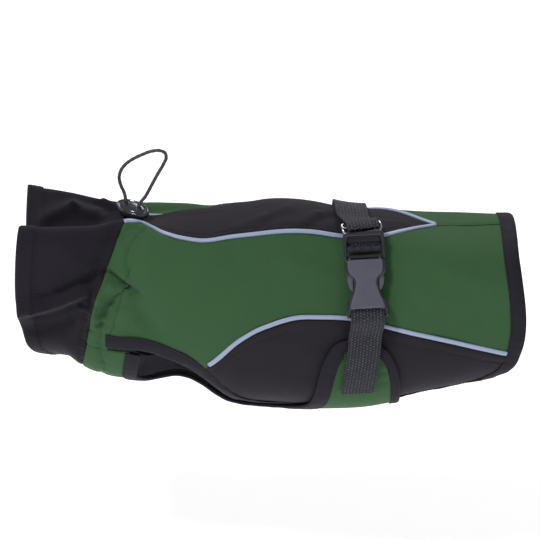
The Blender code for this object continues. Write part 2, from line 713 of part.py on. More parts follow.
def arc(centre, radius, first, last, steps):
    """Places (y, z) on an arc, in degrees from +Y towards +Z."""
    angles = np.radians(np.linspace(first, last, steps))
    return [(centre[0] + radius * math.cos(a), centre[1] + radius * math.sin(a)) for a in angles]


def make_back_strap(group, buckle):
    """From the right wing over the back, under the slide, and round the male half's bar."""
    turns = np.linspace(STRAP_TURN[0], STRAP_LEAVES, 30)
    rows = lying(turns, strap_lift(turns))
    under = BAR[1] - BAR_RADIUS
    hook = [(1.5, under), (-6.0, under), *arc((-BAR[0], BAR[1]), BAR_RADIUS, 270, 15, 11)]
    points = np.concatenate([rows, ribbon(hook, buckle)])
    sheet("back_strap", points, WEBBING_THICK, group, "webbing")


def make_slide(group, slide):
    """Metal slide with a bar across its middle, and the strap's end that rolls over that bar."""
    half_x, half_y = SLIDE_SIZE[0] / 2, SLIDE_SIZE[1] / 2
    holes = [rounded(-HALF_SLOT, low, HALF_SLOT, low + 3.2, 0.8, 2) for low in (0.7, -3.9)]
    outline = rounded(-half_x, -half_y, half_x, half_y, 3.0)
    plate("slide", [outline, *holes], -SLIDE_THICK / 2, SLIDE_THICK / 2, group,
          "slide_metal", slide)
    over = [(-6.8, 1.6), (-5.6, 2.7), (-3.4, 3.4), (-0.4, 3.7), (1.8, 3.2), (3.1, 2.2),
            (3.6, 0.9), (3.6, -0.5)]
    points = ribbon(over, slide)[::-1]
    sheet("strap_end", points, WEBBING_THICK, group, "webbing")


def make_male(group, buckle):
    """Frame with two windows for the strap, and two arms that reach into the female half."""
    edge = [(15, -2), (15, -19.6), (12.5, -19.6), (12.5, -33), (13.4, -34.5), (13.0, -39),
            (11.4, -43), (9.2, -43), (9.2, -19.6), (-9.2, -19.6), (-9.2, -43), (-11.4, -43),
            (-13.0, -39), (-13.4, -34.5), (-12.5, -33), (-12.5, -19.6), (-15, -19.6), (-15, -2),
            (-13, 0), (13, 0)]
    windows = [rounded(-HALF_SLOT, low, HALF_SLOT, high, 0.8, 2)
               for low, high in ((-11.4, -2.8), (-17.6, -13.6))]
    plate("buckle_male", [edge, *windows], *MALE_DEPTH, group, "buckle_plastic", buckle)


def make_female(group, cutters, buckle):
    """Housing with a narrow waist, two sockets for the arms and a bar for the belly webbing."""
    right = [(7, -19.95), (13.4, -20.3), (15, -21.5), (15, -30), (13.6, -32), (8.6, -33.6),
             (8.4, -39), (8.8, -43.5), (12.6, -50), (15, -52), (15, -61.4), (14.2, -63)]
    edge = right + [(-x, y) for x, y in right[::-1]]
    window = rounded(-HALF_SLOT, -60.6, HALF_SLOT, -54.6, 0.8, 2)
    female = plate("buckle_female", [edge, window], *FEMALE_DEPTH, group, "buckle_plastic",
                   buckle)
    low, high = MALE_DEPTH[0] - 0.5, MALE_DEPTH[1] + 0.5
    for name, side in SIDES:
        ends = sorted((8.7 * side, 13.0 * side))
        socket = block(f"socket_{name}", (ends[0], -35.0, low), (ends[1], -19.0, high),
                       cutters, buckle)
        cut(female, socket)
    recess = block("webbing_recess", (-HALF_SLOT, -65.0, 4.0), (HALF_SLOT, -57.0, 11.0),
                   cutters, buckle)
    cut(female, recess)


def make_belly_webbing(group, buckle):
    """From the female half's bar down onto the left wing, where it is sewn."""
    start = [(-55.4, 5.6), (-59.0, 6.0), (-63.6, 5.8)]
    turns = np.linspace(0.500, STRAP_TURN[-1], 13)
    rows = lying(turns, np.full_like(turns, WING_STRAP_LIFT))
    points = np.concatenate([ribbon(start, buckle), rows])
    sheet("belly_webbing", points, WEBBING_THICK, group, "webbing")


# ---------------------------------------------------------------- drawcord and its lock

LOCK_MIDDLE = (-111.0, 0.0, -2.3)
LOCK_SIZE = (28.0, 16.0, 8.4)
LOCK_TILT = 15.0  # degrees towards the left side
LOCK_SWING = -33.0  # degrees about the lock's own face
LOCK_HOLE = 5.9  # from the lock's middle to each hole
CORD_ROUTE = (  # the loop that stands up from the lock, (X, Y, Z)
    (-117.0, 3.0, 9.5), (-119.5, 3.0, 16.0), (-120.5, 2.5, 22.5), (-119.3, 2.0, 27.5),
    (-116.2, 1.5, 32.5), (-110.4, 1.0, 37.3), (-103.6, 0.5, 41.0), (-95.8, 0.0, 44.2),
    (-89.8, 0.0, 44.6), (-86.2, 0.0, 42.8), (-85.4, -0.5, 39.2), (-87.2, -1.0, 34.8),
    (-91.8, -1.8, 26.8), (-96.6, -2.5, 17.8), (-101.0, -3.0, 9.6),
)
CORD_PLACES = 52


def lock_matrix():
    tilt = Matrix.Rotation(math.radians(LOCK_TILT), 4, "X")
    swing = Matrix.Rotation(math.radians(LOCK_SWING), 4, "Z")
    return Matrix.Translation(Vector(LOCK_MIDDLE) * MM) @ tilt @ swing


def make_lock(group, cutters):
    """Flattened ball with two holes through its face."""
    work = bmesh.new()
    bmesh.ops.create_uvsphere(work, u_segments=24, v_segments=10, radius=0.5)
    bmesh.ops.scale(work, vec=Vector(LOCK_SIZE) * MM, verts=work.verts)
    mesh = bpy.data.meshes.new("cord_lock")
    work.to_mesh(mesh)
    work.free()
    mesh.shade_smooth()
    lock = add_object("cord_lock", mesh, group, "lock_plastic")
    lock.matrix_world = lock_matrix()
    for name, side in SIDES:
        place = Matrix.Translation((-side * LOCK_HOLE * MM, 0, 0))
        hole = rod(f"lock_hole_{name}", CORD_DIAMETER / 2 + 0.45, 20, cutters,
                   lock_matrix() @ place, sides=14)
        cut(lock, hole)


def make_drawcord(group):
    """Elastic loop, both ends inside the lock."""
    lock = np.array(lock_matrix())
    middle, axis = lock[:3, 3] / MM, lock[:3, 2]
    ends = [middle - side * lock[:3, 0] * LOCK_HOLE for _, side in SIDES]
    first = [ends[0] + axis * rise for rise in (-2.0, 2.0, 6.0)]
    last = [ends[1] + axis * rise for rise in (6.0, 2.0, -2.0)]
    route = np.array([*first, *CORD_ROUTE, *last])
    steps = np.linalg.norm(np.diff(route, axis=0), axis=1)
    reach = np.concatenate([[0.0], np.cumsum(steps)])
    at = np.linspace(0, reach[-1], CORD_PLACES)
    line = np.stack([smooth(at, reach, route[:, axis]) for axis in range(3)], axis=-1)
    tube("drawcord", line, CORD_DIAMETER / 2, group, "elastic_cord", 2)


# ---------------------------------------------------------------- the whole coat


def main():
    clear_scene()
    coat = collection("dog_softshell_coat")
    cutters = collection("cutters")
    edge = free_edge()
    outline = along(FLAP_EDGE, FLAP_PLACES)
    make_collar(coat)
    make_back_panel(coat)
    make_sides(coat, edge)
    make_lowers(coat, edge)
    make_flap(coat, outline)
    make_bindings(coat, edge, outline)
    make_pipings(coat)
    buckle = buckle_frame()
    make_back_strap(coat, buckle)
    make_slide(coat, slide_frame(buckle))
    make_male(coat, buckle)
    make_female(coat, cutters, buckle)
    make_belly_webbing(coat, buckle)
    make_lock(coat, cutters)
    make_drawcord(coat)


if __name__ == "__main__":
    main()
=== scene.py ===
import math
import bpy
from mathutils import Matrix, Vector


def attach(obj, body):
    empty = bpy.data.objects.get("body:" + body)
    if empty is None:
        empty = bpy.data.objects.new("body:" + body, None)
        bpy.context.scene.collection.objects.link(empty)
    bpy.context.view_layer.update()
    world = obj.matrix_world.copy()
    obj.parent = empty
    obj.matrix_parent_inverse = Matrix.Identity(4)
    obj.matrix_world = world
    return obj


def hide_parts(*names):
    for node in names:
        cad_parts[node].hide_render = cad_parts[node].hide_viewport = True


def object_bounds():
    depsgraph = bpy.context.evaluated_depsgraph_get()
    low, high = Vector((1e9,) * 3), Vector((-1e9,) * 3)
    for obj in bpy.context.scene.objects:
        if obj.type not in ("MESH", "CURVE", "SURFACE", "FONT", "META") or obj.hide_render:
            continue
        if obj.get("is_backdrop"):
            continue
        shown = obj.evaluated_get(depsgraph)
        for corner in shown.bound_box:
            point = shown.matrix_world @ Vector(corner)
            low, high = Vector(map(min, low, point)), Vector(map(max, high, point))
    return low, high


bl_info = {
    "name": "Dog Softshell Coat",
    "version": (1, 0, 0),
    "blender": (4, 5, 0),
    "location": "3D View > Sidebar > Dog Coat",
    "description": "Cut and sewn cloth, bindings, strap, buckle and drawcord of a small dog's coat",
    "category": "Object",
}

import bmesh
import bpy
import numpy as np
from mathutils import Matrix, Vector

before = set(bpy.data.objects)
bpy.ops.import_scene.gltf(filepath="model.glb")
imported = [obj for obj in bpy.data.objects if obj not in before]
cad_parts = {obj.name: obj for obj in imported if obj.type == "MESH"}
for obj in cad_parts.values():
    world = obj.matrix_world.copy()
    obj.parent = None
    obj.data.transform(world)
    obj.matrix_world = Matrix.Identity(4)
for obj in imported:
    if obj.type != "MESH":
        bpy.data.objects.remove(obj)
CAD_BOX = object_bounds()

# A place on the coat's cloth is given by u, millimetres along the back from the neck seam, and by
# turn, the share of the half girth from the spine (0) to the belly line (1), positive on the
# wearer's left side (-Y). Tables are in millimetres; MM turns them into metres.
MM = 0.001
HALF_SEAM = 0.05
COLLAR_TOP = -74.0
HEM = 292.0
BINDING_WIDTH = 12.0
WING_BINDING = 7.5
WEBBING_WIDTH = 25.0
WEBBING_THICK = 1.4
WEBBING_STEP = 0.5
FLAP_LIFT = 3.4
STRAP_LIFT = 3.4
WING_STRAP_LIFT = 6.0
LEFT, RIGHT, BOTH = 1, -1, 0
SIDES = (("left", LEFT), ("right", RIGHT))

# ---------------------------------------------------------------- the coat's form

RING_COLUMNS = (
    "u", "x_top", "x_side", "x_belly", "x_keel", "crown_z", "ridge_y", "ridge_z",
    "side_y", "side_z", "belly_y", "belly_z", "keel_z",
)
RINGS = (  # collar rim, collar, collar, neck seam, shoulder, leg holes (3), crest, strap, point, hem
    (-74, -192, -196, -187, -174, -28.0, 36, -0.5, 47, -55, 31, -103, -117),
    (-40, -158, -165, -162, -158, -22.0, 31, -3.0, 45, -57, 31, -106, -120),
    (-18, -136, -151.5, -156, -157, -16.0, 25, -5.0, 43, -58, 31, -110, -122),
    (0, -117, -138.5, -149.5, -152, -9.0, 18, -4.0, 41, -60, 32, -113, -126),
    (23, -95, -110, -124, -128, -9.5, 30, -9.0, 50, -64, 33, -123, -136),
    (40, -78, -91, -103, -106, -7.0, 33, -11.0, 54, -68, 34, -125, -136),
    (58, -60, -68, -76, -78, -5.0, 35, -12.0, 57, -72, 36, -121, -128),
    (88, -30, -33, -36, -37, -1.0, 32, -8.0, 59, -75, 40, -138, -149),
    (118, 0, 0, 0, 0, 1.6, 28, -5.5, 59, -74, 42, -140, -156),
    (174, 56, 56, 56, 56, -5.0, 26, -11.0, 55, -76, 42, -141, -156),
    (233, 115, 115, 115, 115, -14.5, 36, -19.5, 58, -76, 42, -129, -143),
    (292, 174, 179.5, 172, 170, -13.0, 36, -21.5, 57, -72, 40, -118, -128),
)
RING = {name: np.array([row[i] for row in RINGS], float) for i, name in enumerate(RING_COLUMNS)}
TURN_KNOTS = np.array((0.0, 0.16, 0.48, 0.80, 1.0))  # turn of crown, ridge, side, belly, keel

FOLDS = (  # of the coat's form: side, u and turn at both ends, width, height over the cloth
    (LEFT, -76, 0.545, -18, 0.440, 6, 4.5),
    (LEFT, -50, 0.475, -10, 0.390, 8, -5.0),
    (LEFT, -14, 0.500, -2, 0.520, 5, 2.0),
    (LEFT, -30, 0.640, -4, 0.660, 12, -1.5),
    (LEFT, -76, 0.650, -24, 0.560, 11, -4.0),
    (RIGHT, -60, 0.072, -38, 0.104, 5, 3.8),
    (RIGHT, -38, 0.104, -22, 0.080, 5, 3.5),
    (RIGHT, -70, 0.430, -16, 0.520, 9, 3.0),
    (RIGHT, -48, 0.600, -6, 0.560, 9, -3.5),
    (LEFT, 3, 0.245, 10, 0.160, 4, -3.0),
    (LEFT, 1, 0.372, 20, 0.405, 4, -4.5),
    (LEFT, 7, 0.405, 2, 0.460, 4, 3.5),
    (LEFT, 2, 0.460, 4, 0.540, 4, 3.0),
    (LEFT, 9, 0.440, 8, 0.520, 4, -3.0),
    (LEFT, 26, 0.430, 36, 0.510, 9, -3.0),
    (RIGHT, 1, 0.330, 22, 0.370, 5, -3.5),
    (RIGHT, 3, 0.420, 6, 0.520, 4, 3.0),
    (RIGHT, 20, 0.480, 40, 0.540, 11, -2.0),
    (RIGHT, 18, 0.060, 60, 0.092, 6, -3.0),
    (RIGHT, 66, 0.140, 90, 0.140, 13, -2.2),
    (BOTH, 2, 0.830, 10, 0.860, 4, -2.0),
    (BOTH, 168, 0.050, 182, 0.480, 20, -2.0),
)
CREASES = (  # finer folds of the cloth's face, same columns
    (LEFT, 3, 0.37, 15, 0.39, 1.8, -3.0),
    (LEFT, 5, 0.35, 16, 0.38, 3.0, 1.6),
    (LEFT, 6, 0.395, 16, 0.41, 2.2, 2.6),
    (LEFT, 17, 0.415, 11, 0.445, 1.9, 1.8),
    (LEFT, 9, 0.425, 3, 0.50, 2.3, 2.4),
    (LEFT, 3, 0.50, 1, 0.56, 2.2, 1.8),
    (LEFT, 12, 0.43, 5, 0.49, 2.6, -1.5),
    (LEFT, 5, 0.50, 8, 0.56, 2.8, -1.2),
    (LEFT, 1, 0.60, 4, 0.60, 1.6, -1.6),
    (LEFT, 21, 0.42, 36, 0.53, 6.0, -2.2),
    (LEFT, 24, 0.40, 42, 0.50, 5.0, 0.8),
    (LEFT, -62, 0.53, -10, 0.44, 4.2, 2.4),
    (LEFT, -9, 0.45, -7, 0.48, 3.0, 1.6),
    (LEFT, -58, 0.57, -14, 0.49, 4.5, -2.4),
    (LEFT, -36, 0.44, -12, 0.40, 6.0, -1.6),
    (LEFT, -46, 0.27, -20, 0.34, 9.0, 1.2),
    (LEFT, 85, 0.13, 105, 0.09, 5.0, 0.9),
    (LEFT, 105, 0.09, 122, 0.03, 5.0, 0.9),
    (LEFT, 95, 0.14, 122, 0.08, 6.0, -0.9),
    (LEFT, 130, 0.14, 145, 0.06, 4.5, 1.1),
    (LEFT, 145, 0.06, 157, 0.00, 4.5, 1.1),
    (LEFT, 138, 0.15, 154, 0.06, 4.5, -1.1),
    (LEFT, 190, 0.05, 210, 0.01, 5.0, 0.7),
    (LEFT, 194, 0.28, 214, 0.37, 6.5, -1.3),
    (LEFT, 199, 0.26, 222, 0.34, 6.0, 0.7),
    (LEFT, 165, 0.27, 130, 0.24, 6.0, -0.9),
    (LEFT, 162, 0.33, 128, 0.30, 7.0, 0.7),
    (LEFT, 196, 0.60, 190, 0.59, 1.6, -0.7),
    (LEFT, 197, 0.63, 190, 0.63, 1.6, -0.7),
    (LEFT, 196, 0.67, 190, 0.67, 1.6, -0.7),
    (LEFT, 240, 0.25, 272, 0.30, 9.0, 0.8),
    (LEFT, 236, 0.40, 276, 0.43, 9.0, -0.8),
    (LEFT, 97, 0.60, 124, 0.56, 8.0, -0.9),
    (LEFT, 118, 0.48, 152, 0.54, 7.0, -0.8),
    (RIGHT, -62, 0.06, -38, 0.10, 3.0, 1.6),
    (RIGHT, -38, 0.10, -16, 0.055, 3.0, 1.8),
    (RIGHT, -52, 0.05, -22, 0.04, 4.5, -2.2),
    (RIGHT, -50, 0.13, -22, 0.12, 5.0, -1.4),
    (RIGHT, -16, 0.155, -6, 0.10, 2.4, 2.0),
    (RIGHT, -21, 0.13, -10, 0.08, 2.6, -2.0),
    (RIGHT, -8, 0.14, -3, 0.115, 2.0, -1.2),
    (LEFT, -4, 0.470, -16, 0.455, 2.0, -0.9),
    (LEFT, -3, 0.500, -14, 0.488, 2.0, -0.9),
    (LEFT, -3, 0.530, -12, 0.525, 2.0, -0.8),
    (LEFT, -20, 0.300, -2, 0.330, 5.0, -0.8),
    (LEFT, 12, 0.470, 22, 0.452, 2.5, -0.8),
    (LEFT, 6, 0.560, 16, 0.548, 2.5, -0.7),
    (LEFT, 30, 0.500, 24, 0.560, 5.0, -1.0),
    (LEFT, 206, 0.250, 250, 0.330, 9.0, -0.6),
    (LEFT, 150, 0.260, 166, 0.330, 7.0, -0.8),
    (LEFT, 190, 0.300, 203, 0.240, 7.0, -0.8),
    (LEFT, 120, 0.620, 150, 0.650, 8.0, -0.8),
    (RIGHT, 2, 0.345, 18, 0.372, 1.8, -1.4),
    (RIGHT, -60, 0.470, -26, 0.500, 3.0, 0.8),
    (RIGHT, -3, 0.460, -14, 0.470, 2.0, -0.9),
    (RIGHT, -3, 0.500, -13, 0.515, 2.0, -0.8),
    (RIGHT, 12, 0.500, 24, 0.470, 3.0, -0.8),
    (RIGHT, 206, 0.280, 246, 0.350, 9.0, -0.6),
    (RIGHT, 150, 0.300, 166, 0.340, 7.0, -0.8),
)
FOLD_GIRTH = 215.0  # millimetres of cloth from the spine to the belly line
CLOTH_MM = np.array((1.0, FOLD_GIRTH))  # millimetres of cloth for each unit of (u, turn)

# ---------------------------------------------------------------- seams and edges, (u, turn)

UPPER_SEAM = (
    (0, 0.165), (8, 0.120), (14, 0.088), (20, 0.098), (28, 0.130), (38, 0.150), (50, 0.158),
    (76, 0.165), (100, 0.172), (140, 0.174), (160, 0.176), (178, 0.163), (192, 0.138),
    (206, 0.088), (221, 0.035), (232, 0.004),
)
UPPER_SEAM_RIGHT = (
    (0, 0.165), (8, 0.110), (14, 0.066), (20, 0.052), (30, 0.054), (40, 0.062), (50, 0.074),
    (60, 0.096), (70, 0.128), (80, 0.158), (92, 0.180), (110, 0.192), (140, 0.194),
    (160, 0.186), (178, 0.163), (192, 0.138), (206, 0.088), (221, 0.035), (232, 0.004),
)
BACK_POINT = 232.0
LOWER_SEAM = (
    (66, 0.690), (72, 0.637), (84, 0.542), (97, 0.485), (112, 0.455), (126, 0.438), (146, 0.435),
    (166, 0.438), (194, 0.462), (236, 0.513), (283, 0.614),
)
CHEST_SEAM = ((0, 0.672), (12, 0.663), (22, 0.648), (36, 0.628))
FREE_EDGE = (
    (13, 0.652), (22, 0.641), (32, 0.626), (40, 0.627), (50, 0.655), (60, 0.698), (70, 0.745),
    (80, 0.795), (90, 0.838), (102, 0.868), (118, 0.882), (145, 0.892), (190, 0.900),
    (235, 0.892), (258, 0.868), (274, 0.825), (286, 0.760), (291, 0.690), (292, 0.620),
    (292, 0.450), (292, 0.250), (292, 0.100), (292, 0.0),
)
FLAP_EDGE = (
    (34.5, 0.645), (35, 0.720), (37, 0.800), (45, 0.842), (62, 0.848), (100, 0.850),
    (122, 0.842), (134, 0.800), (140, 0.730), (144, 0.640), (149, 0.570), (157, 0.524),
    (169, 0.510), (183, 0.516), (195, 0.545), (202, 0.595), (205, 0.660), (205.5, 0.760),
    (205, 0.880), (205, 1.0),
)
FLAP_LIFT_ROWS = ((0, 0.0), (36, 0.0), (60, 1.6), (84, FLAP_LIFT), (HEM, FLAP_LIFT))
STRAP_LIFT_ROWS = ((0.10, 2.6), (0.15, STRAP_LIFT), (0.42, STRAP_LIFT), (0.50, WING_STRAP_LIFT))
STRAP_MIDDLE = (
    (-0.695, 170.0), (-0.5, 167.0), (-0.2, 168.0), (0.0, 169.0), (0.06, 170.0), (0.15, 175.0),
    (0.42, 179.0), (0.55, 178.0), (0.695, 173.5),
)
CHANNEL_LEFT = (  # (turn, u) of the stitching that closes the cord's channel
    (0.13, 18), (0.22, 11), (0.31, 10), (0.39, 17), (0.45, 9), (0.51, 6), (0.60, 8.5),
    (0.66, 9.5), (0.74, 14), (1.0, 14),
)
CHANNEL_RIGHT = (
    (0.130, 18.5), (0.142, 16.0), (0.227, 11.0), (0.305, 10.0), (0.350, 12.0), (0.370, 17.0),
    (0.410, 11.0), (0.470, 8.0), (0.533, 9.0), (0.600, 12.0), (0.662, 14.5), (0.742, 14.0),
    (1.0, 14.0),
)
COLLAR_HALF_SEAM = 0.0003  # turn from the middle plane to each half of the collar
COLLAR_HEM = 61.5  # millimetres from the neck seam to the step of the rim's hem
NECK_ROWS = (5.0, 8.2)  # rows of stitches on the collar, millimetres from the neck seam
BACK_ROW = 5.5  # rows of stitches on the leaf, the lower panels and the rear seam, from the seam
LOWER_ROW = 9.6
REAR_ROW = 3.0
BINDING_ROW = 10.3  # from a binding's edge to the row that sews it down
ROW_FURROW = 0.7  # half width of the furrow that a row of stitches draws in the cloth
CHANNEL_START = 0.13  # turn where the cord's channel comes out from under the leaf
EDGE_PLACES = 372
FLAP_PLACES = 300
LEG_END = 88.0
MEET = 72.5
TUCK = 3.0  # how far a panel reaches into the binding round it
UNDER_PIPING = 0.9  # from a piping's middle to the panels that are sewn to it
UPPER_TURNS = {LEFT: np.array(UPPER_SEAM).T, RIGHT: np.array(UPPER_SEAM_RIGHT).T}
LOWER_TURN = np.array(LOWER_SEAM).T
CHEST_TURN = np.array(CHEST_SEAM).T
STRAP_TURN, STRAP_U = np.array(STRAP_MIDDLE).T


def bell(distance, width):
    """exp(-(distance / width)^2): 1 on a line, fading to nothing on both sides of it."""
    return np.exp(-((distance / width) ** 2))


def unit(vectors):
    return vectors / np.linalg.norm(vectors, axis=-1, keepdims=True)


def circle(count):
    """Places (cos, sin) spread evenly round a circle, and their angles."""
    angle = np.linspace(0, 2 * np.pi, count, endpoint=False)
    return np.stack([np.cos(angle), np.sin(angle)], axis=-1), angle


def lengths_along(points, axis=0):
    """Distance from the first point to each one along a line, or along each line of a grid."""
    steps = np.linalg.norm(np.diff(points, axis=axis), axis=-1)
    return np.insert(np.cumsum(steps, axis=axis), 0, 0.0, axis=axis)


def threaded(curve, at, knots, table):
    """A curve, such as smooth or np.interp, through each column of a table."""
    return np.stack([curve(at, knots, column) for column in np.asarray(table).T], axis=-1)


def hermite(t, step, start, start_slope, end, end_slope):
    """Cubic between two knots `step` apart: the blend 1-3t^2+2t^3 of both values plus t(1-t)^2
    and t^2(t-1) shares of both slopes, t running from 0 to 1."""
    return (
        (1 + 2 * t) * (1 - t) ** 2 * start + t * (1 - t) ** 2 * step * start_slope
        + t * t * (3 - 2 * t) * end + t * t * (t - 1) * step * end_slope
    )


def parabola_slopes(values, step):
    """Slope at each knot, that of the parabola through it and both neighbours."""
    chord = np.diff(values, axis=0) / step
    slopes = np.concatenate([chord, chord[-1:]])
    slopes[1:-1] = (step[1:] * chord[:-1] + step[:-1] * chord[1:]) / (step[1:] + step[:-1])
    return slopes


def smooth(at, knots, values):
    """Smooth curve through a table of knots and values."""
    knots, values = np.asarray(knots, float), np.asarray(values, float)
    step = np.diff(knots)
    slopes = parabola_slopes(values, step)
    low = np.clip(np.searchsorted(knots, at) - 1, 0, len(step) - 1)
    t = (at - knots[low]) / step[low]
    return hermite(t, step[low], values[low], slopes[low], values[low + 1], slopes[low + 1])


def run_lengths(line):
    """Length of cloth from the line's start to each of its (u, turn) places."""
    return lengths_along(line * CLOTH_MM)


def along(rows, count):
    """`count` places spread evenly by length along the smooth line through (u, turn) rows."""
    rows = np.array(rows, float)
    reach = run_lengths(rows)
    return threaded(smooth, np.linspace(0, reach[-1], count), reach, rows)


def half_section(u, turn):
    """Points of the right half: at u every column of RINGS is read from its smooth curve, and a
    cubic in turn joins crown, ridge, side, belly and keel, level on the middle plane."""
    column = {name: smooth(u, RING["u"], RING[name]) for name in RING_COLUMNS[1:]}
    level = np.zeros_like(u)
    stops = np.array([
        [column["x_top"], level, column["crown_z"]],
        [column["x_top"], column["ridge_y"], column["ridge_z"]],
        [column["x_side"], column["side_y"], column["side_z"]],
        [column["x_belly"], column["belly_y"], column["belly_z"]],
        [column["x_keel"], level, column["keel_z"]],
    ])
    step = np.diff(TURN_KNOTS)
    slope = parabola_slopes(stops, step.reshape(-1, *([1] * (stops.ndim - 1))))
    slope[[0, -1]] = 0.0
    slope[0, 1] = column["ridge_y"] / step[0]
    slope[-1, 1] = -column["belly_y"] / step[-1]
    low = np.clip(np.searchsorted(TURN_KNOTS, turn) - 1, 0, len(step) - 1)
    t = (turn - TURN_KNOTS[low]) / step[low]
    ends = (np.take_along_axis(table, np.broadcast_to(index, (1, 3, *index.shape)), 0)[0]
            for index in (low, low + 1) for table in (stops, slope))
    return hermite(t, step[low], *ends)


def fold_height(u, turn, side, folds=FOLDS):
    """Sum over the folds of height * exp(-(distance to the fold's line / width)^2)."""
    total = np.zeros_like(u)
    for fold_side, u_from, turn_from, u_to, turn_to, width, height in folds:
        run = np.array((u_to - u_from, turn_to - turn_from)) * CLOTH_MM
        away = (u - u_from, (turn - turn_from) * FOLD_GIRTH)
        share = np.clip((away[0] * run[0] + away[1] * run[1]) / (run @ run), 0, 1)
        distance = np.hypot(away[0] - share * run[0], away[1] - share * run[1])
        on_side = 1.0 if fold_side == BOTH else (side == fold_side)
        total += height * bell(distance, width) * on_side
    return total


def half_of(turn):
    """Which half a turn lies on, and its share of that half; past 1 or -1 it has crossed the
    belly line."""
    crossed = np.abs(turn) > 1
    side = np.where(turn >= 0, LEFT, RIGHT) * np.where(crossed, -1, 1)
    return side, np.where(crossed, 2 - np.abs(turn), np.abs(turn))


def surface(u, turn, lift=0.0):
    """Point on the coat's face plus (fold height + lift) times the unit normal, the normal being
    the cross product of the steps along u and turn."""
    u, turn = np.broadcast_arrays(np.asarray(u, float), np.asarray(turn, float))
    side, share = half_of(turn)
    ahead = half_section(u + 1e-3, share) - half_section(u - 1e-3, share)
    onward = half_section(u, share + 1e-4) - half_section(u, share - 1e-4)
    outward = np.cross(ahead, onward, axis=0)
    outward /= np.linalg.norm(outward, axis=0)
    point = half_section(u, share) + outward * (fold_height(u, share, side) + lift)
    point[1] *= -side
    return np.moveaxis(point, 0, -1)


def laid(places, lift=0.0):
    """Points of a line or grid of (u, turn) places."""
    return surface(places[..., 0], places[..., 1], lift)


def stretch(u, turn):
    """Millimetres of cloth for each unit of u and of turn: central differences of the surface."""
    by_u = np.linalg.norm(surface(u + 0.5, turn) - surface(u - 0.5, turn), axis=-1)
    by_turn = np.linalg.norm(surface(u, turn + 5e-4) - surface(u, turn - 5e-4), axis=-1) / 1e-3
    return by_u, by_turn


def beside(line, distance):
    """The line moved `distance` millimetres to the left of its run, along the unit vector at
    right angles to its gradient."""
    scale = np.stack(stretch(line[:, 0], np.clip(line[:, 1], 1e-3, 1 - 1e-3)), axis=-1)
    run = unit(np.gradient(line, axis=0) * scale)
    return line + distance * np.stack([-run[:, 1], run[:, 0]], axis=-1) / scale


def closing_in(count):
    """Shares from 0 to 1, closer together at both ends: t - 0.6 * sin(2 pi t) / (2 pi)."""
    t = np.linspace(0, 1, count)
    return t - 0.6 * np.sin(2 * np.pi * t) / (2 * np.pi)


def ruled(first, last, shares):
    """Grid with a straight line from each place of `first` to its match in `last`."""
    shares = np.asarray(shares)[None, :, None]
    return first[:, None, :] * (1 - shares) + last[:, None, :] * shares


def flap_lift(u):
    return np.interp(u, *np.array(FLAP_LIFT_ROWS).T)


def upper_turn(u, side):
    return np.maximum(smooth(np.minimum(u, BACK_POINT), *UPPER_TURNS[side]), 0.0)


def lower_turn(u):
    return smooth(u, *LOWER_TURN)


def chest_turn(u):
    return smooth(u, *CHEST_TURN)


def turned(line, side):
    return line * np.array((1.0, side))


def across_belly(line):
    return line * np.array((1.0, -1.0)) + np.array((0.0, 2.0))


def off_seam(u, turn, distance):
    """A seam line moved `distance` millimetres towards the belly."""
    return np.stack([u, turn + distance / stretch(u, np.maximum(turn, 1e-3))[1]], axis=-1)


def back_stations(first, last, step_mm, crowding=1.25):
    count = int(abs(last - first) / step_mm) + 1
    return first + (last - first) * np.linspace(0, 1, count) ** crowding


def channel_u(turn, side):
    """u of the channel's stitching at a turn, on either side."""
    turn = np.clip(turn, CHANNEL_START, 1.0)
    left, right = (smooth(turn, *np.array(rows).T) for rows in (CHANNEL_LEFT, CHANNEL_RIGHT))
    return np.where(side == LEFT, left, right)


def ripple(x, y, wave, seed):
    """Uneven waves between about -1 and 1: four sines in turned directions, each a different
    length round `wave`, with phases drawn from the seed."""
    draw = np.random.default_rng(seed)
    total = np.zeros_like(np.asarray(x, float) + y)
    for _ in range(4):
        angle, phase = draw.uniform(0, np.pi), draw.uniform(0, 2 * np.pi)
        length = wave * draw.uniform(0.7, 1.5)
        total = total + np.sin(2 * np.pi * (x * np.cos(angle) + y * np.sin(angle)) / length + phase)
    return total / 2.6


# ---------------------------------------------------------------- sizes and colours of the add-on


def linear(channel):
    value = channel / 255
    return value / 12.92 if value <= 0.04045 else ((value + 0.055) / 1.055) ** 2.4


def size(name, description, default, low, high):
    """Length in metres, given here in millimetres."""
    return bpy.props.FloatProperty(
        name=name, description=description, default=default * MM, min=low * MM, max=high * MM,
        subtype="DISTANCE", unit="LENGTH", precision=5,
    )


def colour(name, description, rgb):
    """Colour, given here as the 0 to 255 values that a screen shows."""
    return bpy.props.FloatVectorProperty(
        name=name, description=description, size=3, subtype="COLOR", min=0.0, max=1.0,
        default=tuple(linear(channel) for channel in rgb),
    )


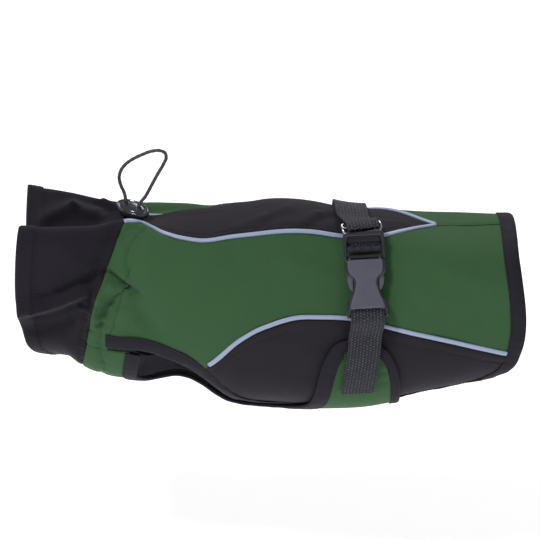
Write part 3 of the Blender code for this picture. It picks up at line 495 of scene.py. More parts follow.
class CoatSizes(bpy.types.PropertyGroup):
    """Sizes of the cloth and of what is sewn to it."""

    cloth: size("Cloth Thickness", "Softshell cloth with its lining", 1.4, 0.8, 1.6)
    binding: size("Binding Crown", "Height of a binding's middle above the cloth", 1.0, 0.6, 1.8)
    piping_width: size("Piping Width", "Width of the reflective piping that shows", 3.4, 2.4, 4.5)
    piping_height: size("Piping Height", "Height of the piping above the cloth", 1.3, 0.6, 2.0)
    stitch: size("Stitch Length", "Length of one stitch that shows", 2.1, 1.2, 4.0)
    stitch_pitch: size("Stitch Pitch", "From one stitch to the next", 2.9, 1.8, 5.0)
    thread: size("Thread Radius", "Half the thickness of the sewing thread", 0.24, 0.1, 0.5)
    weave: size("Strap Weave", "Length of one cell of the strap's weave", 2.1, 1.5, 4.0)
    weave_depth: size("Strap Weave Depth", "Height of the strap's yarns", 0.34, 0.1, 0.5)
    yarn: size("Cloth Weave", "Width of one cell of the softshell's weave", 0.75, 0.4, 2.0)
    cord: size("Cord Diameter", "Thickness of the drawcord", 2.6, 2.0, 2.6)


class CoatColours(bpy.types.PropertyGroup):
    """Colours of the coat's materials."""

    green: colour("Green Softshell", "Sides and belly flap", (57, 92, 58))
    black: colour("Black Softshell", "Back and lower panels", (37, 33, 41))
    collar: colour("Collar Softshell", "Collar", (31, 28, 37))
    # pale on purpose: painted light, standing in for light that does not reach the coat's inside
    lining: colour("Lining", "Fleece on the inside", (150, 148, 158))
    binding: colour("Binding", "Binding of the edges", (33, 29, 40))
    piping: colour("Piping", "Reflective piping", (146, 160, 186))
    webbing: colour("Webbing", "Strap and its ends", (31, 31, 38))
    # lighter colour of the yarns' tops: partly fleck colour, partly painted highlight on the raised
    # yarns
    flecks_and_highlight: colour("Webbing Flecks", "Raised yarns of the strap", (76, 78, 90))
    buckle: colour("Buckle Plastic", "Face of the buckle and its prongs", (85, 86, 99))
    rims: colour("Buckle Rims", "Frame and rails of the buckle", (40, 40, 50))
    lock: colour("Lock Plastic", "Cord lock", (50, 51, 62))
    metal: colour("Slide Metal", "Strap slide", (205, 208, 214))
    cord: colour("Drawcord", "Elastic cord", (64, 62, 70))
    green_thread: colour("Green Thread", "Stitching on the green cloth", (54, 98, 100))
    black_thread: colour("Black Thread", "Stitching on the black cloth", (24, 22, 30))
    floor: colour("Floor", "Studio floor", (244, 244, 245))


def sizes():
    return bpy.context.scene.dog_coat_sizes


def colours():
    return bpy.context.scene.dog_coat_colours


# ---------------------------------------------------------------- materials


def node(tree, kind, inputs=None, **settings):
    """Adds a node, sets its fields, and gives each input a value or a link from a socket."""
    made = tree.nodes.new(kind)
    for field, value in settings.items():
        setattr(made, field, value)
    for key, value in (inputs or {}).items():
        if isinstance(value, bpy.types.NodeSocket):
            tree.links.new(value, made.inputs[key])
        else:
            made.inputs[key].default_value = value
    return made


def new_material(name, base, roughness, **sockets):
    """A Principled material; `sockets` are constants set on the shader itself."""
    made = bpy.data.materials.new(name)
    made.use_nodes = True
    shader = made.node_tree.nodes["Principled BSDF"]
    shader.inputs["Base Color"].default_value = (*base, 1.0)
    shader.inputs["Roughness"].default_value = roughness
    for key, value in sockets.items():
        shader.inputs[key.replace("_", " ")].default_value = value
    made.diffuse_color = (*base, 1.0)
    return made, made.node_tree, shader


def math_node(tree, operation, *values):
    return node(tree, "ShaderNodeMath", dict(enumerate(values)), operation=operation).outputs[0]


def weighted(tree, *terms):
    """Sum of sockets, each times its weight."""
    total = 0.0
    for socket, weight in terms:
        total = math_node(tree, "MULTIPLY_ADD", socket, weight, total)
    return total


def coordinates(tree):
    """Sockets of the UV map and of the place on the object, which is in metres."""
    texture = node(tree, "ShaderNodeTexCoord")
    return texture.outputs["UV"], texture.outputs["Object"]


def cells(tree, coordinate, pitch_x, pitch_y):
    """Weave height |sin(pi x / pitch)| * |sin(pi y / pitch)|, with every second row shifted by
    half a cell through x + floor(y / pitch) / 2."""
    parts = node(tree, "ShaderNodeSeparateXYZ", {0: coordinate})
    x = math_node(tree, "DIVIDE", parts.outputs[0], pitch_x)
    y = math_node(tree, "DIVIDE", parts.outputs[1], pitch_y)
    shifted = math_node(tree, "MULTIPLY_ADD", math_node(tree, "FLOOR", y), 0.5, x)
    waves = []
    for value in (shifted, y):
        sine = math_node(tree, "SINE", math_node(tree, "MULTIPLY", value, math.pi))
        waves.append(math_node(tree, "ABSOLUTE", sine))
    return math_node(tree, "MULTIPLY", *waves)


def noise(tree, coordinate, scale, detail=3.0, roughness=0.55):
    inputs = {"Vector": coordinate, "Scale": scale, "Detail": detail, "Roughness": roughness}
    return node(tree, "ShaderNodeTexNoise", inputs).outputs["Fac"]


def colour_mix(tree, factor, low, high):
    inputs = {"Factor": factor, 6: (*low, 1.0), 7: (*high, 1.0)}
    return node(tree, "ShaderNodeMix", inputs, data_type="RGBA").outputs[2]


def spread_of(tree, value, low, high, to_low, to_high):
    """Value from low..high carried to to_low..to_high and held there."""
    made = node(tree, "ShaderNodeMapRange", {0: value, 1: low, 2: high, 3: to_low, 4: to_high})
    return made.outputs[0]


def tinted(tree, base, factor, amount):
    """Colour times (1 - amount .. 1 + amount) as factor runs from 0 to 1."""
    low = [max(channel * (1 - amount), 0.0) for channel in base]
    high = [min(channel * (1 + amount), 1.0) for channel in base]
    return colour_mix(tree, factor, low, high)


def feed(tree, shader, tone, height=None, strength=0.0, depth=0.0, rough=None):
    """Links a colour, a bump that is `depth` metres deep and a roughness to the shader."""
    tree.links.new(tone, shader.inputs["Base Color"])
    if height is not None:
        inputs = {"Strength": strength, "Distance": depth, "Height": height}
        bump = node(tree, "ShaderNodeBump", inputs)
        tree.links.new(bump.outputs[0], shader.inputs["Normal"])
    if rough is not None:
        tree.links.new(rough, shader.inputs["Roughness"])


def cloth_material(name, base, mottle=0.12, bump=0.35, sheen=0.07, roughness=0.82, nap=0.0):
    """Softshell face: fine offset weave for bump, two sizes of noise for the heathered colour;
    `nap` adds the curly pile of the lining."""
    made, tree, shader = new_material(name, base, roughness, Sheen_Weight=sheen,
                                      Sheen_Roughness=0.5, Specular_IOR_Level=0.2)
    uv, place = coordinates(tree)
    weave = cells(tree, uv, sizes().yarn, sizes().yarn)
    fine = noise(tree, place, 900.0, 2.0)
    broad = noise(tree, place, 38.0)
    blend = weighted(tree, (fine, 0.45), (broad, 0.35), (weave, 0.35))
    factor = spread_of(tree, blend, 0.35, 0.75, 0.0, 1.0)
    rough = spread_of(tree, broad, 0.3, 0.7, roughness - 0.06, min(roughness + 0.06, 1.0))
    heights = [(weave, 1.0), (fine, 0.8)]
    if nap:
        heights.append((noise(tree, place, 420.0, 4.0, 0.7), nap))
    feed(tree, shader, tinted(tree, base, factor, mottle), weighted(tree, *heights), bump,
         0.0003, rough)
    return made


def binding_material(name, base):
    """Smooth stretch tape: fine ribs across the tape from the UV map, faint lint."""
    made, tree, shader = new_material(name, base, 0.7, Sheen_Weight=0.02, Sheen_Roughness=0.4,
                                      Specular_IOR_Level=0.2)
    uv, place = coordinates(tree)
    ribs, lint = cells(tree, uv, 0.0006, 0.0011), noise(tree, place, 1300.0, 2.0)
    factor = weighted(tree, (ribs, 0.5), (lint, 0.5))
    feed(tree, shader, tinted(tree, base, factor, 0.14), factor, 0.3, 0.0002)
    return made


def piping_material(name, base):
    """Reflective tape: glass bead grain, and darker lines along its middle and both edges, painted
    shade of its crease and of where it meets the cloth, read from the UV map, whose V runs 0 to 1
    round the piping."""
    made, tree, shader = new_material(name, base, 0.42, Coat_Weight=0.15, Coat_Roughness=0.3,
                                      Specular_IOR_Level=0.5)
    uv, place = coordinates(tree)
    round_it = node(tree, "ShaderNodeSeparateXYZ", {0: uv}).outputs[1]
    middle = math_node(tree, "ABSOLUTE", math_node(tree, "SUBTRACT", round_it, 0.5))
    # painted shade: darker bands along the tape's crease and its edges
    line = spread_of(tree, middle, 0.015, 0.06, 0.45, 1.0)
    edge = spread_of(tree, middle, 0.30, 0.46, 1.0, 0.5)
    beads = noise(tree, place, 2200.0, 1.0)
    factor = math_node(tree, "MULTIPLY", math_node(tree, "MULTIPLY", line, edge),
                       spread_of(tree, beads, 0.3, 0.7, 0.8, 1.0))
    feed(tree, shader, tinted(tree, base, factor, 0.22), beads, 0.2, 0.0001)
    return made


def webbing_material(name, base, flecks_and_highlight):
    """Strap yarns: cells of the weave on the UV map, whose U runs along the strap, in metres; their
    tops are lighter, partly flecks of lighter yarn and partly painted highlight, and fine strands
    run along them."""
    made, tree, shader = new_material(name, base, 0.55, Sheen_Weight=0.03, Sheen_Roughness=0.35,
                                      Specular_IOR_Level=0.3)
    uv, place = coordinates(tree)
    height = cells(tree, uv, sizes().weave, sizes().weave * 0.62)
    strands = cells(tree, uv, 0.0014, 0.00028)
    lint = noise(tree, place, 500.0, 2.0)
    # share of the lighter colour: highest on the yarns' tops, partly painted highlight, broken by
    # lint into flecks
    fleck_and_highlight_share = math_node(tree, "MULTIPLY", spread_of(tree, height, 0.35, 0.8, 0.0, 1.0),
                      spread_of(tree, lint, 0.35, 0.6, 0.25, 1.0))
    feed(tree, shader, colour_mix(tree, fleck_and_highlight_share, base, flecks_and_highlight),
         weighted(tree, (height, 1.0), (strands, 0.2)), 0.8, 0.0004)
    return made


def plastic_material(name, base, roughness, grain, scale=1500.0, **sockets):
    """Moulded plastic: fine spark grain for bump, cloudy wear in the roughness and colour."""
    made, tree, shader = new_material(name, base, roughness, **sockets)
    place = coordinates(tree)[1]
    spark, cloud = noise(tree, place, scale, 2.0), noise(tree, place, 90.0, 4.0)
    rough = spread_of(tree, cloud, 0.3, 0.7, roughness * 0.85, min(roughness * 1.2, 1.0))
    feed(tree, shader, tinted(tree, base, cloud, 0.07), spark, grain, 0.0001, rough)
    return made


def cord_material(name, base):
    """Braid: two sets of diagonal strands, the larger of sin(around + along) and sin(around - along)
    on the UV map; the colour is lighter on the strands' crowns and darker in the grooves between
    them, painted highlight and painted shade."""
    made, tree, shader = new_material(name, base, 0.5, Sheen_Weight=0.03, Specular_IOR_Level=0.4)
    parts = node(tree, "ShaderNodeSeparateXYZ", {0: coordinates(tree)[0]})
    lengthwise = math_node(tree, "MULTIPLY", parts.outputs[0], 2 * math.pi / 0.0021)
    around = math_node(tree, "MULTIPLY", parts.outputs[1], 2 * math.pi * 4)
    strands = [math_node(tree, "SINE", math_node(tree, way, around, lengthwise))
               for way in ("ADD", "SUBTRACT")]
    braid = math_node(tree, "MAXIMUM", *strands)
    # painted highlight on the strands' crowns and painted shade in their grooves
    factor = spread_of(tree, braid, -0.2, 1.0, 0.0, 1.0)
    feed(tree, shader, tinted(tree, base, factor, 0.32), braid, 0.6, 0.0002)
    return made


def thread_material(name, base):
    """Twisted sewing thread: diagonal ply lines on Object coordinates."""
    made, tree, shader = new_material(name, base, 0.6, Sheen_Weight=0.02)
    inputs = {"Vector": coordinates(tree)[1], "Scale": 700.0, "Distortion": 1.0}
    ply = node(tree, "ShaderNodeTexWave", inputs, bands_direction="DIAGONAL").outputs["Fac"]
    feed(tree, shader, tinted(tree, base, ply, 0.25))
    return made


def material(name):
    """The material of that name, made on first use."""
    if name in bpy.data.materials:
        return bpy.data.materials[name]
    tone = colours()
    makers = {
        "green_cloth": lambda: cloth_material(name, tone.green),
        "black_cloth": lambda: cloth_material(name, tone.black),
        "collar_cloth": lambda: cloth_material(name, tone.collar),
        # the lining's pale colour is painted light for the coat's unlit inside
        "fleece_lining_painted_light": lambda: cloth_material(name, tone.lining, mottle=0.3, bump=0.9,
                                                sheen=0.06, roughness=0.92, nap=2.5),
        "binding_tape": lambda: binding_material(name, tone.binding),
        "piping_tape": lambda: piping_material(name, tone.piping),
        "strap_webbing": lambda: webbing_material(name, tone.webbing, tone.flecks_and_highlight),
        "satin_plastic": lambda: plastic_material(name, tone.buckle, 0.42, 0.25),
        "rim_plastic": lambda: plastic_material(name, tone.rims, 0.3, 0.15, 900.0,
                                                Coat_Weight=0.3, Coat_Roughness=0.2),
        "glossy_plastic": lambda: plastic_material(name, tone.lock, 0.16, 0.05, 400.0,
                                                   Coat_Weight=0.4, Coat_Roughness=0.06),
        "plated_wire": lambda: plastic_material(name, tone.metal, 0.24, 0.1, 600.0, Metallic=1.0),
        "braided_cord": lambda: cord_material(name, tone.cord),
        "green_thread": lambda: thread_material(name, tone.green_thread),
        "black_thread": lambda: thread_material(name, tone.black_thread),
        "studio_floor": lambda: plastic_material(name, tone.floor, 0.9, 0.05, 30.0,
                                                 Emission_Color=(1.0, 1.0, 1.0, 1.0),
                                                 Emission_Strength=0.60),
    }
    return makers[name]()


def placed(name, data):
    """A new object in the scene."""
    made = bpy.data.objects.new(name, data)
    bpy.context.scene.collection.objects.link(made)
    return made


def on_coat(piece, nodes):
    """Puts a piece on the coat's body, in place of its CAD nodes."""
    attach(piece, "root")
    if nodes:
        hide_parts(*nodes)
    return piece


# ---------------------------------------------------------------- meshes


def add_piece(name, mesh, slot_name, *nodes):
    return on_coat(placed(name, mesh), nodes)


def signed_volume(points, quads):
    a, b, c, d = (points[quads[:, i]] for i in range(4))
    return ((a * np.cross(b, c)).sum() + (a * np.cross(c, d)).sum()) / 6


def grid_mesh(name, points, uv, finishes, wrap=False, caps=False):
    """Quads over a (rows, columns, 3) grid in millimetres. `wrap` joins the last column to the
    first, with uv one column wider, and `caps` closes both ends; such a closed mesh is turned so
    that its volume is positive."""
    rows, columns = points.shape[:2]
    index = np.arange(rows * columns).reshape(rows, columns)
    if wrap:
        index = np.concatenate([index, index[:, :1]], axis=1)
    flat = points.reshape(-1, 3)

    def quads_of(grid):
        parts = (grid[:-1, :-1], grid[:-1, 1:], grid[1:, 1:], grid[1:, :-1])
        return np.stack(parts, axis=2).reshape(-1, 4, *grid.shape[2:])

    quads, corners = quads_of(index), quads_of(uv)
    turn_over = wrap and signed_volume(flat, quads) < 0
    if turn_over:
        quads, corners = quads[:, ::-1], corners[:, ::-1]
    faces = quads.tolist()
    corners = corners.reshape(-1, 2)
    if caps:
        ends = (index[0, :columns], index[-1, :columns][::-1])
        faces += [(end if turn_over else end[::-1]).tolist() for end in ends]
        corners = np.concatenate([corners, np.zeros((2 * columns, 2))])
    mesh = bpy.data.meshes.new(name)
    mesh.from_pydata((flat * MM).tolist(), [], faces)
    mesh.uv_layers.new(name="UVMap").data.foreach_set("uv", corners.astype(np.float32).ravel())
    mesh.shade_smooth()
    for finish in finishes:
        mesh.materials.append(material(finish))
    return mesh


def edge_distances(grid):
    """Millimetres along the lines of a (u, turn) grid from each place to its first column, last
    column and first row."""
    points = laid(grid)
    across = lengths_along(points, 1)
    return across, across[:, -1:] - across, lengths_along(points)


def rolled(distance, depth, width):
    """Cloth that turns down into a seam or furrow: -depth * exp(-(distance / width)^2)."""
    return -depth * bell(distance, width)


def puckered(distance, station, height, wave, reach, seed):
    """Small waves beside a row of stitching: height * ripple(station) * exp(-(distance/reach)^2)."""
    return height * ripple(station, 0.0, wave, seed) * bell(distance, reach)


def face_relief(places):
    """What the cloth's face has beside the folds of the form: the finer creases, a slow swell of
    a third of a millimetre, the raised channel of the cord and the groove of its stitching."""
    u = places[..., 0]
    side, share = half_of(places[..., 1])
    crease = fold_height(u, share, side, CREASES)
    swell = 0.3 * ripple(u + 400 * (side == LEFT), share * FOLD_GIRTH, 46.0, 3)
    stitched = channel_u(share, side)
    inside = np.clip(u / stitched, 0, 1)
    on_channel = (u > 0) * (share > CHANNEL_START + 0.005)
    swollen = 0.8 * np.sin(np.pi * inside) * (inside < 1)
    groove = rolled(u - stitched, 0.9, 1.6)
    pucker = puckered(u - stitched, share * FOLD_GIRTH, 0.45, 7.0, 5.0, 11)
    return crease + swell + on_channel * (swollen + groove + pucker)


def cloth_mesh(name, grid, lift, finish):
    """Panel over a grid of (u, turn): surface(u, turn, lift), its faces turned outwards, with the
    cloth's own millimetres as UV."""
    points, uv = laid(grid, lift), grid * CLOTH_MM * MM
    row, column = np.array(grid.shape[:2]) // 2
    normal = np.cross(points[row + 1, column] - points[row, column],
                      points[row, column + 1] - points[row, column])
    if normal @ (laid(grid[row, column], 1.0) - laid(grid[row, column])) > 0:
        points, uv = points[:, ::-1], uv[:, ::-1]
    return grid_mesh(name, points, uv, (finish, "fleece_lining_painted_light"))


def walled(piece, thickness):
    """Solidify inwards; its inner faces take the second material, the lining, whose pale colour is
    painted light for the coat's unlit inside.
    """
    wall = piece.modifiers.new("wall", "SOLIDIFY")
    wall.thickness = thickness
    wall.offset = -1
    wall.material_offset = 1
    wall.use_even_offset = False
    return piece


def cloth_piece(name, grid, relief, finish, slot_name, *nodes):
    """Panel of cloth: `relief` is its height above the coat's face beside what face_relief says."""
    mesh = cloth_mesh(name, grid, face_relief(grid) + relief, finish)
    return walled(add_piece(name, mesh, slot_name, *nodes), sizes().cloth)


def closed_run(name, points, finishes, measured=False):
    """Closed profile carried along a path: rows are the places, columns go round the profile.
    U is the length along the path in metres and V the share of the way round, or its length
    where `measured`."""
    reach = lengths_along(points.mean(axis=1)) * MM
    share = np.linspace(0, 1, points.shape[1] + 1)
    uv = np.stack(np.meshgrid(reach, share, indexing="ij"), axis=-1)
    if measured:
        girth = np.linalg.norm(points - np.roll(points, 1, axis=1), axis=-1).sum(axis=1).mean()
        uv = uv * np.array((1.0, girth * MM))
    return grid_mesh(name, points, uv, finishes, wrap=True, caps=True)


# ---------------------------------------------------------------- stitching


def stitch_row(points, outward):
    """Stitches along one line: each is a spindle of four rings and two tips, its radius following
    sin(pi t)^0.6, its axis 0.15 radii up in the middle and 1.2 * (2t - 1)^2 radii lower outside."""
    length, pitch, radius = (getattr(sizes(), key) / MM
                             for key in ("stitch", "stitch_pitch", "thread"))
    reach = lengths_along(points)
    at = np.arange(pitch / 2, reach[-1], pitch)
    behind, place, ahead = (threaded(np.interp, at + step * pitch, reach, points)
                            for step in (-0.4, 0.0, 0.4))
    run = unit(ahead - behind)
    up = threaded(np.interp, at, reach, outward)
    up = unit(up - run * (up * run).sum(axis=-1, keepdims=True))
    sideways = np.cross(run, up)
    t = np.array((0.0, 0.14, 0.38, 0.62, 0.86, 1.0))
    wide = radius * np.sin(np.pi * t) ** 0.6
    ring = circle(6)[0]
    spine = place[:, None] + run[:, None] * ((t - 0.5) * length)[None, :, None]
    spine += up[:, None] * (radius * (0.15 - 1.2 * (2 * t - 1) ** 2))[None, :, None]
    across = sideways[:, None, None] * ring[:, 0, None] + up[:, None, None] * ring[:, 1, None]
    return spine[:, :, None] + across * wide[None, :, None, None]


def stitching(name, lines, finish, slot_name):
    """One piece of all the stitches of like thread."""
    rows = np.concatenate([stitch_row(*line) for line in lines])
    count, stations, around = rows.shape[:3]
    tips = rows[:, (0, -1), 0]
    body = rows[:, 1:-1]
    vertices = np.concatenate([body.reshape(count, -1, 3), tips], axis=1)
    index = np.arange((stations - 2) * around).reshape(stations - 2, around)
    onward = np.roll(index, -1, axis=1)
    quads = np.stack([index[:-1], index[1:], onward[1:], onward[:-1]], axis=-1).reshape(-1, 4)
    first, last = index.size, index.size + 1
    heads = [[first, a, b] for a, b in zip(index[0], onward[0])]
    heads += [[last, b, a] for a, b in zip(index[-1], onward[-1])]
    base = np.arange(count)[:, None, None] * vertices.shape[1]
    faces = (quads[None] + base).reshape(-1, 4).tolist()
    faces += (np.array(heads)[None] + base).reshape(-1, 3).tolist()
    mesh = bpy.data.meshes.new(name)
    mesh.from_pydata((vertices.reshape(-1, 3) * MM).tolist(), [], faces)
    mesh.shade_smooth()
    mesh.materials.append(material(finish))
    return add_piece(name, mesh, slot_name)


def line_on_cloth(line, lift):
    """Points and outward directions of a (u, turn) line at a lift above the cloth."""
    points = laid(line, lift)
    return points, laid(line, lift + 1.0) - points


def seam_line(line, lift=0.0):
    """The same on the panels' own face, creases and channel included."""
    return line_on_cloth(line, lift + face_relief(line))


# ---------------------------------------------------------------- lines that pieces share


def free_edge():
    return along(FREE_EDGE, EDGE_PLACES)


def leg_places(edge):
    return int(np.argmax(edge[:, 0] > LEG_END)) + 1


def flap_outline():
    return along(FLAP_EDGE, FLAP_PLACES)


def flap_width(outline):
    """Width of the flap's binding at each place of its outline."""
    return np.interp(outline[:, :1], (152.0, 168.0), (BINDING_WIDTH, WING_BINDING))


# ---------------------------------------------------------------- cloth pieces


def make_collar():
    """Half tube on each side: rows run from the neck seam to the rim, columns from the spine to
    the throat. The rim's hem is a second layer: a step of 0.9 mm that swells to a round edge.
    Gathers at the neck seam are ripples that fade over 9 mm."""
    u = back_stations(0.5, COLLAR_TOP, 1.15, 1.0)
    ends = (np.stack([u, np.full_like(u, turn)], axis=-1)
            for turn in (COLLAR_HALF_SEAM, 1 - COLLAR_HALF_SEAM))
    half = ruled(*ends, np.linspace(0, 1, 150))
    for name, side in SIDES:
        grid = turned(half, side)
        depth, station = -grid[..., 0], np.abs(grid[..., 1]) * FOLD_GIRTH
        relief = 0.9 / (1 + np.exp(-(depth - COLLAR_HEM) / 0.35))
        relief += rolled(depth - COLLAR_HEM + 0.5, 0.5, 0.9) + rolled(depth + 0.5, 0.35, 0.8)
        relief -= 0.8 * np.clip((depth + COLLAR_TOP) / 2.0 + 1, 0, 1) ** 2
        relief += puckered(depth, station, 0.55, 6.5, 9.0, 21 + side)
        relief += puckered(depth - COLLAR_HEM, station, 0.22, 8.0, 5.0, 31 + side)
        relief += sum(rolled(depth - row, 0.5, ROW_FURROW) for row in NECK_ROWS)
        piece = cloth_piece(f"collar_{name}_cloth", grid, relief, "collar_cloth",
                            "collar_softshell", f"collar_{name}")


def make_back():
    """Leaf between the upper pipings, columns from the right piping to the left one; its edges
    turn down into the seams."""
    u = back_stations(HALF_SEAM, BACK_POINT - 4.0, 1.4)
    left, right = (off_seam(u, upper_turn(u, side), -UNDER_PIPING) for side in (LEFT, RIGHT))
    for edge in (left, right):
        edge[:, 1] = np.maximum(edge[:, 1], 0.0015)
    grid = ruled(turned(right, RIGHT), left, closing_in(66))
    near, far, front = edge_distances(grid)
    relief = rolled(front, 0.8, 1.4)
    for distance, seed in ((near, 5), (far, 6)):
        relief += rolled(distance, 0.9, 1.5) + rolled(distance - BACK_ROW, 0.25, ROW_FURROW)
        relief += puckered(distance - BACK_ROW, grid[..., 0], 0.14, 9.0, 4.0, seed)
    piece = cloth_piece("back_cloth", grid, relief, "black_cloth", "black_softshell",
                        "back_panel")


def make_sides():
    """Green side: rows run from neck to hem, columns from the upper piping, or the back seam,
    down to the chest seam, the leg hole's binding and the lower piping."""
    edge = free_edge()
    inner = beside(edge, -(BINDING_WIDTH - TUCK))
    leg = inner[(inner[:, 0] < MEET - 1.0) & (np.arange(len(inner)) < leg_places(edge))]
    leg = leg[leg[:, 0] >= np.maximum.accumulate(leg[:, 0]) - 1e-9]
    leg = leg[leg[:, 0] > leg[0, 0] + 1.8]
    chest_u = np.linspace(HALF_SEAM, leg[0, 0] - 0.3, 13)
    chest = off_seam(chest_u, chest_turn(chest_u), -HALF_SEAM)
    lower_u = np.linspace(MEET, HEM - BINDING_WIDTH + TUCK, 156)
    lower = off_seam(lower_u, lower_turn(lower_u), -UNDER_PIPING)
    bottom = np.concatenate([chest, leg, lower])
    u = bottom[:, 0]
    gap = np.interp(u, (BACK_POINT - 3, BACK_POINT + 3), (UNDER_PIPING, HALF_SEAM))
    for name, side in SIDES:
        top = off_seam(u, upper_turn(u, side), gap)
        grid = turned(ruled(top, bottom, closing_in(112)), side)
        above, below, front = edge_distances(grid)
        station = grid[..., 0]
        sewn = np.interp(station[:, :1], (BACK_POINT, BACK_POINT + 4), (0.9, 0.7))
        relief = rolled(above, sewn, 1.4) + rolled(front, 1.0, 1.0) + rolled(below, 0.8, 1.4)
        relief += puckered(above, station, 0.2, 12.0, 5.0, 41 + side)
        relief += puckered(below, station, 0.22, 13.0, 6.0, 51 + side)
        if side == RIGHT:
            relief += (station > BACK_POINT + 2) * rolled(above - REAR_ROW, 0.3, ROW_FURROW)
        piece = cloth_piece(f"side_{name}_cloth", grid, relief, "green_cloth",
                            "green_softshell", f"side_{name}")


def make_lowers():
    """Black lower panel: rows follow its belly edge, columns run down from the lower piping. The
    cloth between the piping and the row of stitches is a little fuller."""
    inner = beside(free_edge(), -(BINDING_WIDTH - TUCK))
    first_u, end_u = MEET - 2.5, HEM - BINDING_WIDTH + TUCK
    bottom = inner[(inner[:, 0] > first_u) & (inner[:, 1] > 0.645)]
    reach = run_lengths(bottom)
    top_u = first_u + (end_u - first_u) * np.minimum(1.04 * reach / reach[-1], 1.0) ** 0.97
    top = off_seam(top_u, lower_turn(top_u), UNDER_PIPING)
    for name, side in SIDES:
        grid = turned(ruled(top, bottom, closing_in(46)), side)
        above = edge_distances(grid)[0]
        relief = rolled(above, 0.9, 1.5) + rolled(above - LOWER_ROW, 0.3, ROW_FURROW)
        relief += puckered(above - LOWER_ROW, grid[..., 0], 0.18, 9.0, 5.0, 61 + side)
        relief += 0.45 * np.clip(1 - np.abs(2 * above / LOWER_ROW - 1), 0, 1)
        piece = cloth_piece(f"lower_{name}_cloth", grid, relief, "black_cloth",
                            "black_softshell", f"lower_{name}")


def make_flap():
    """T-shaped belly piece in one: rows run from the neck seam to its straight rear edge, columns
    from one edge round the belly line to the other."""
    outline = flap_outline()
    inner = beside(outline, flap_width(outline) - TUCK)
    rear = inner[-1, 0]
    highest = np.maximum.accumulate(inner[:, 0])
    inner = inner[(inner[:, 0] >= highest - 1e-9) & (inner[:, 0] < rear - 0.3)]
    chest_u = np.linspace(HALF_SEAM, inner[0, 0] - 0.5, 26)
    chest = off_seam(chest_u, chest_turn(chest_u), HALF_SEAM)
    near = np.concatenate([chest, inner, [[rear - 0.1, inner[-1, 1] + 0.01]]])
    grid = ruled(near, across_belly(near), closing_in(96))
    left, right, front = edge_distances(grid)
    relief = flap_lift(grid[..., 0]) + rolled(front, 0.9, 1.2)
    at_seam = grid[..., 0] < 34
    for distance in (left, right):
        relief += rolled(distance, 0.8, 1.2) * at_seam
        relief += puckered(distance - 8.0, grid[..., 0], 0.35, 11.0, 4.0, 71) * ~at_seam
    piece = cloth_piece("belly_flap_cloth", grid, relief, "green_cloth", "green_softshell",
                        "belly_flap")


# ---------------------------------------------------------------- bindings and pipings

BINDING_PROFILE = (  # (millimetres in from the edge, height above the cloth), round a tape folded
    (12.0, 0.15), (11.9, 0.55), (11.5, 0.80), (11.0, 0.82), (10.5, 0.58), (10.0, 0.62),
    (9.2, 0.90), (7.6, 1.00), (5.8, 1.02), (4.0, 1.00), (2.4, 0.90), (1.3, 0.55), (0.6, 0.0),
    (0.4, -0.7), (0.6, -1.4), (1.3, -1.95), (2.6, -2.25), (6.0, -2.35), (11.2, -2.3),
    (12.0, -2.0), (11.2, -1.55), (2.6, -1.55), (1.9, -0.7), (2.6, 0.06), (11.2, 0.08),
)


def binding_piece(name, outer, inner, seed, *nodes, lift=0.0):
    """Tape folded over an edge: the profile's first number says how far in from the outer line
    it lies, its second how high; ripples of the stretched tape are added outside."""
    inwards, height = np.array(BINDING_PROFILE).T
    grid = ruled(outer, inner, inwards / BINDING_WIDTH)
    outside = height > 0.1
    height = np.where(outside, height * sizes().binding / MM, height)
    station = run_lengths(outer)[:, None]
    drawn = ripple(station, inwards * 0.8, 8.5, seed) * 0.16
    bulge = ripple(station, 0.0, 30.0, seed + 1) * 0.35
    points = laid(grid, height + lift + drawn * outside + bulge)
    mesh = closed_run(name, points, ("binding_tape",), measured=True)
    return add_piece(name, mesh, "edge_binding", *nodes)


def binding_lines():
    """Outer and inner lines of every binding, by name."""
    edge, outline = free_edge(), flap_outline()
    edges = (edge, beside(edge, -BINDING_WIDTH))
    cut_at = leg_places(edge)
    lines = {}
    for name, side in SIDES:
        lines[f"leg_binding_{name}"] = [turned(line[:cut_at], side) for line in edges]
    rear = [line[cut_at - 1 :] for line in edges]
    lines["hem_binding"] = [np.concatenate([line, turned(line[:-1], RIGHT)[::-1]])
                            for line in rear]
    flaps = (outline, beside(outline, flap_width(outline)))
    lines["flap_binding"] = [np.concatenate([line, across_belly(line[:-1])[::-1]])
                             for line in flaps]
    return lines


def make_bindings():
    for seed, (name, (outer, inner)) in enumerate(binding_lines().items()):
        lift = flap_lift(outer[:, :1]) if name == "flap_binding" else 0.0
        binding_piece(f"{name}_tape", outer, inner, 80 + 2 * seed, name, lift=lift)


def make_pipings():
    """Reflective piping: a low half round, width * cos(a), height * |sin(a)|^0.7 above the seam
    and 0.9 mm below it, with a shallow groove where its tape is creased. The right upper one is
    sunk 1.5 mm where the back dips towards the neck."""
    width, height = sizes().piping_width / MM / 2, sizes().piping_height / MM
    cosine, sine = circle(18)[0].T
    across = width * cosine
    rise = np.where(sine > 0, height, 0.9) * np.sign(sine) * np.abs(sine) ** 0.7
    rise = rise - 0.15 * (sine > 0) * bell(across, 0.35)
    upper_u = back_stations(0.6, BACK_POINT + 0.6, 1.3)
    lower_u = np.linspace(MEET - 0.5, HEM - BINDING_WIDTH + 1.0, 170)
    for name, side in SIDES:
        runs = (("upper", upper_u, upper_turn(upper_u, side)),
                ("lower", lower_u, lower_turn(lower_u)))
        for where, u, turn in runs:
            line = np.stack([u, turn], axis=-1)
            grid = turned(np.stack([beside(line, a) for a in across], axis=1), side)
            sunk = 0.12 * ripple(u, 0.0, 14.0, 91)[:, None]
            if (where, side) == ("upper", RIGHT):
                sunk -= 1.5 * np.interp(u, (22, 30, 104, 116), (0.0, 1.0, 1.0, 0.0))[:, None]
            cad_name = f"piping_{where}_{name}"
            mesh = closed_run(f"{cad_name}_tape", laid(grid, rise + sunk), ("piping_tape",))
            add_piece(mesh.name, mesh, "reflective_piping", cad_name)


# ---------------------------------------------------------------- strap and buckle

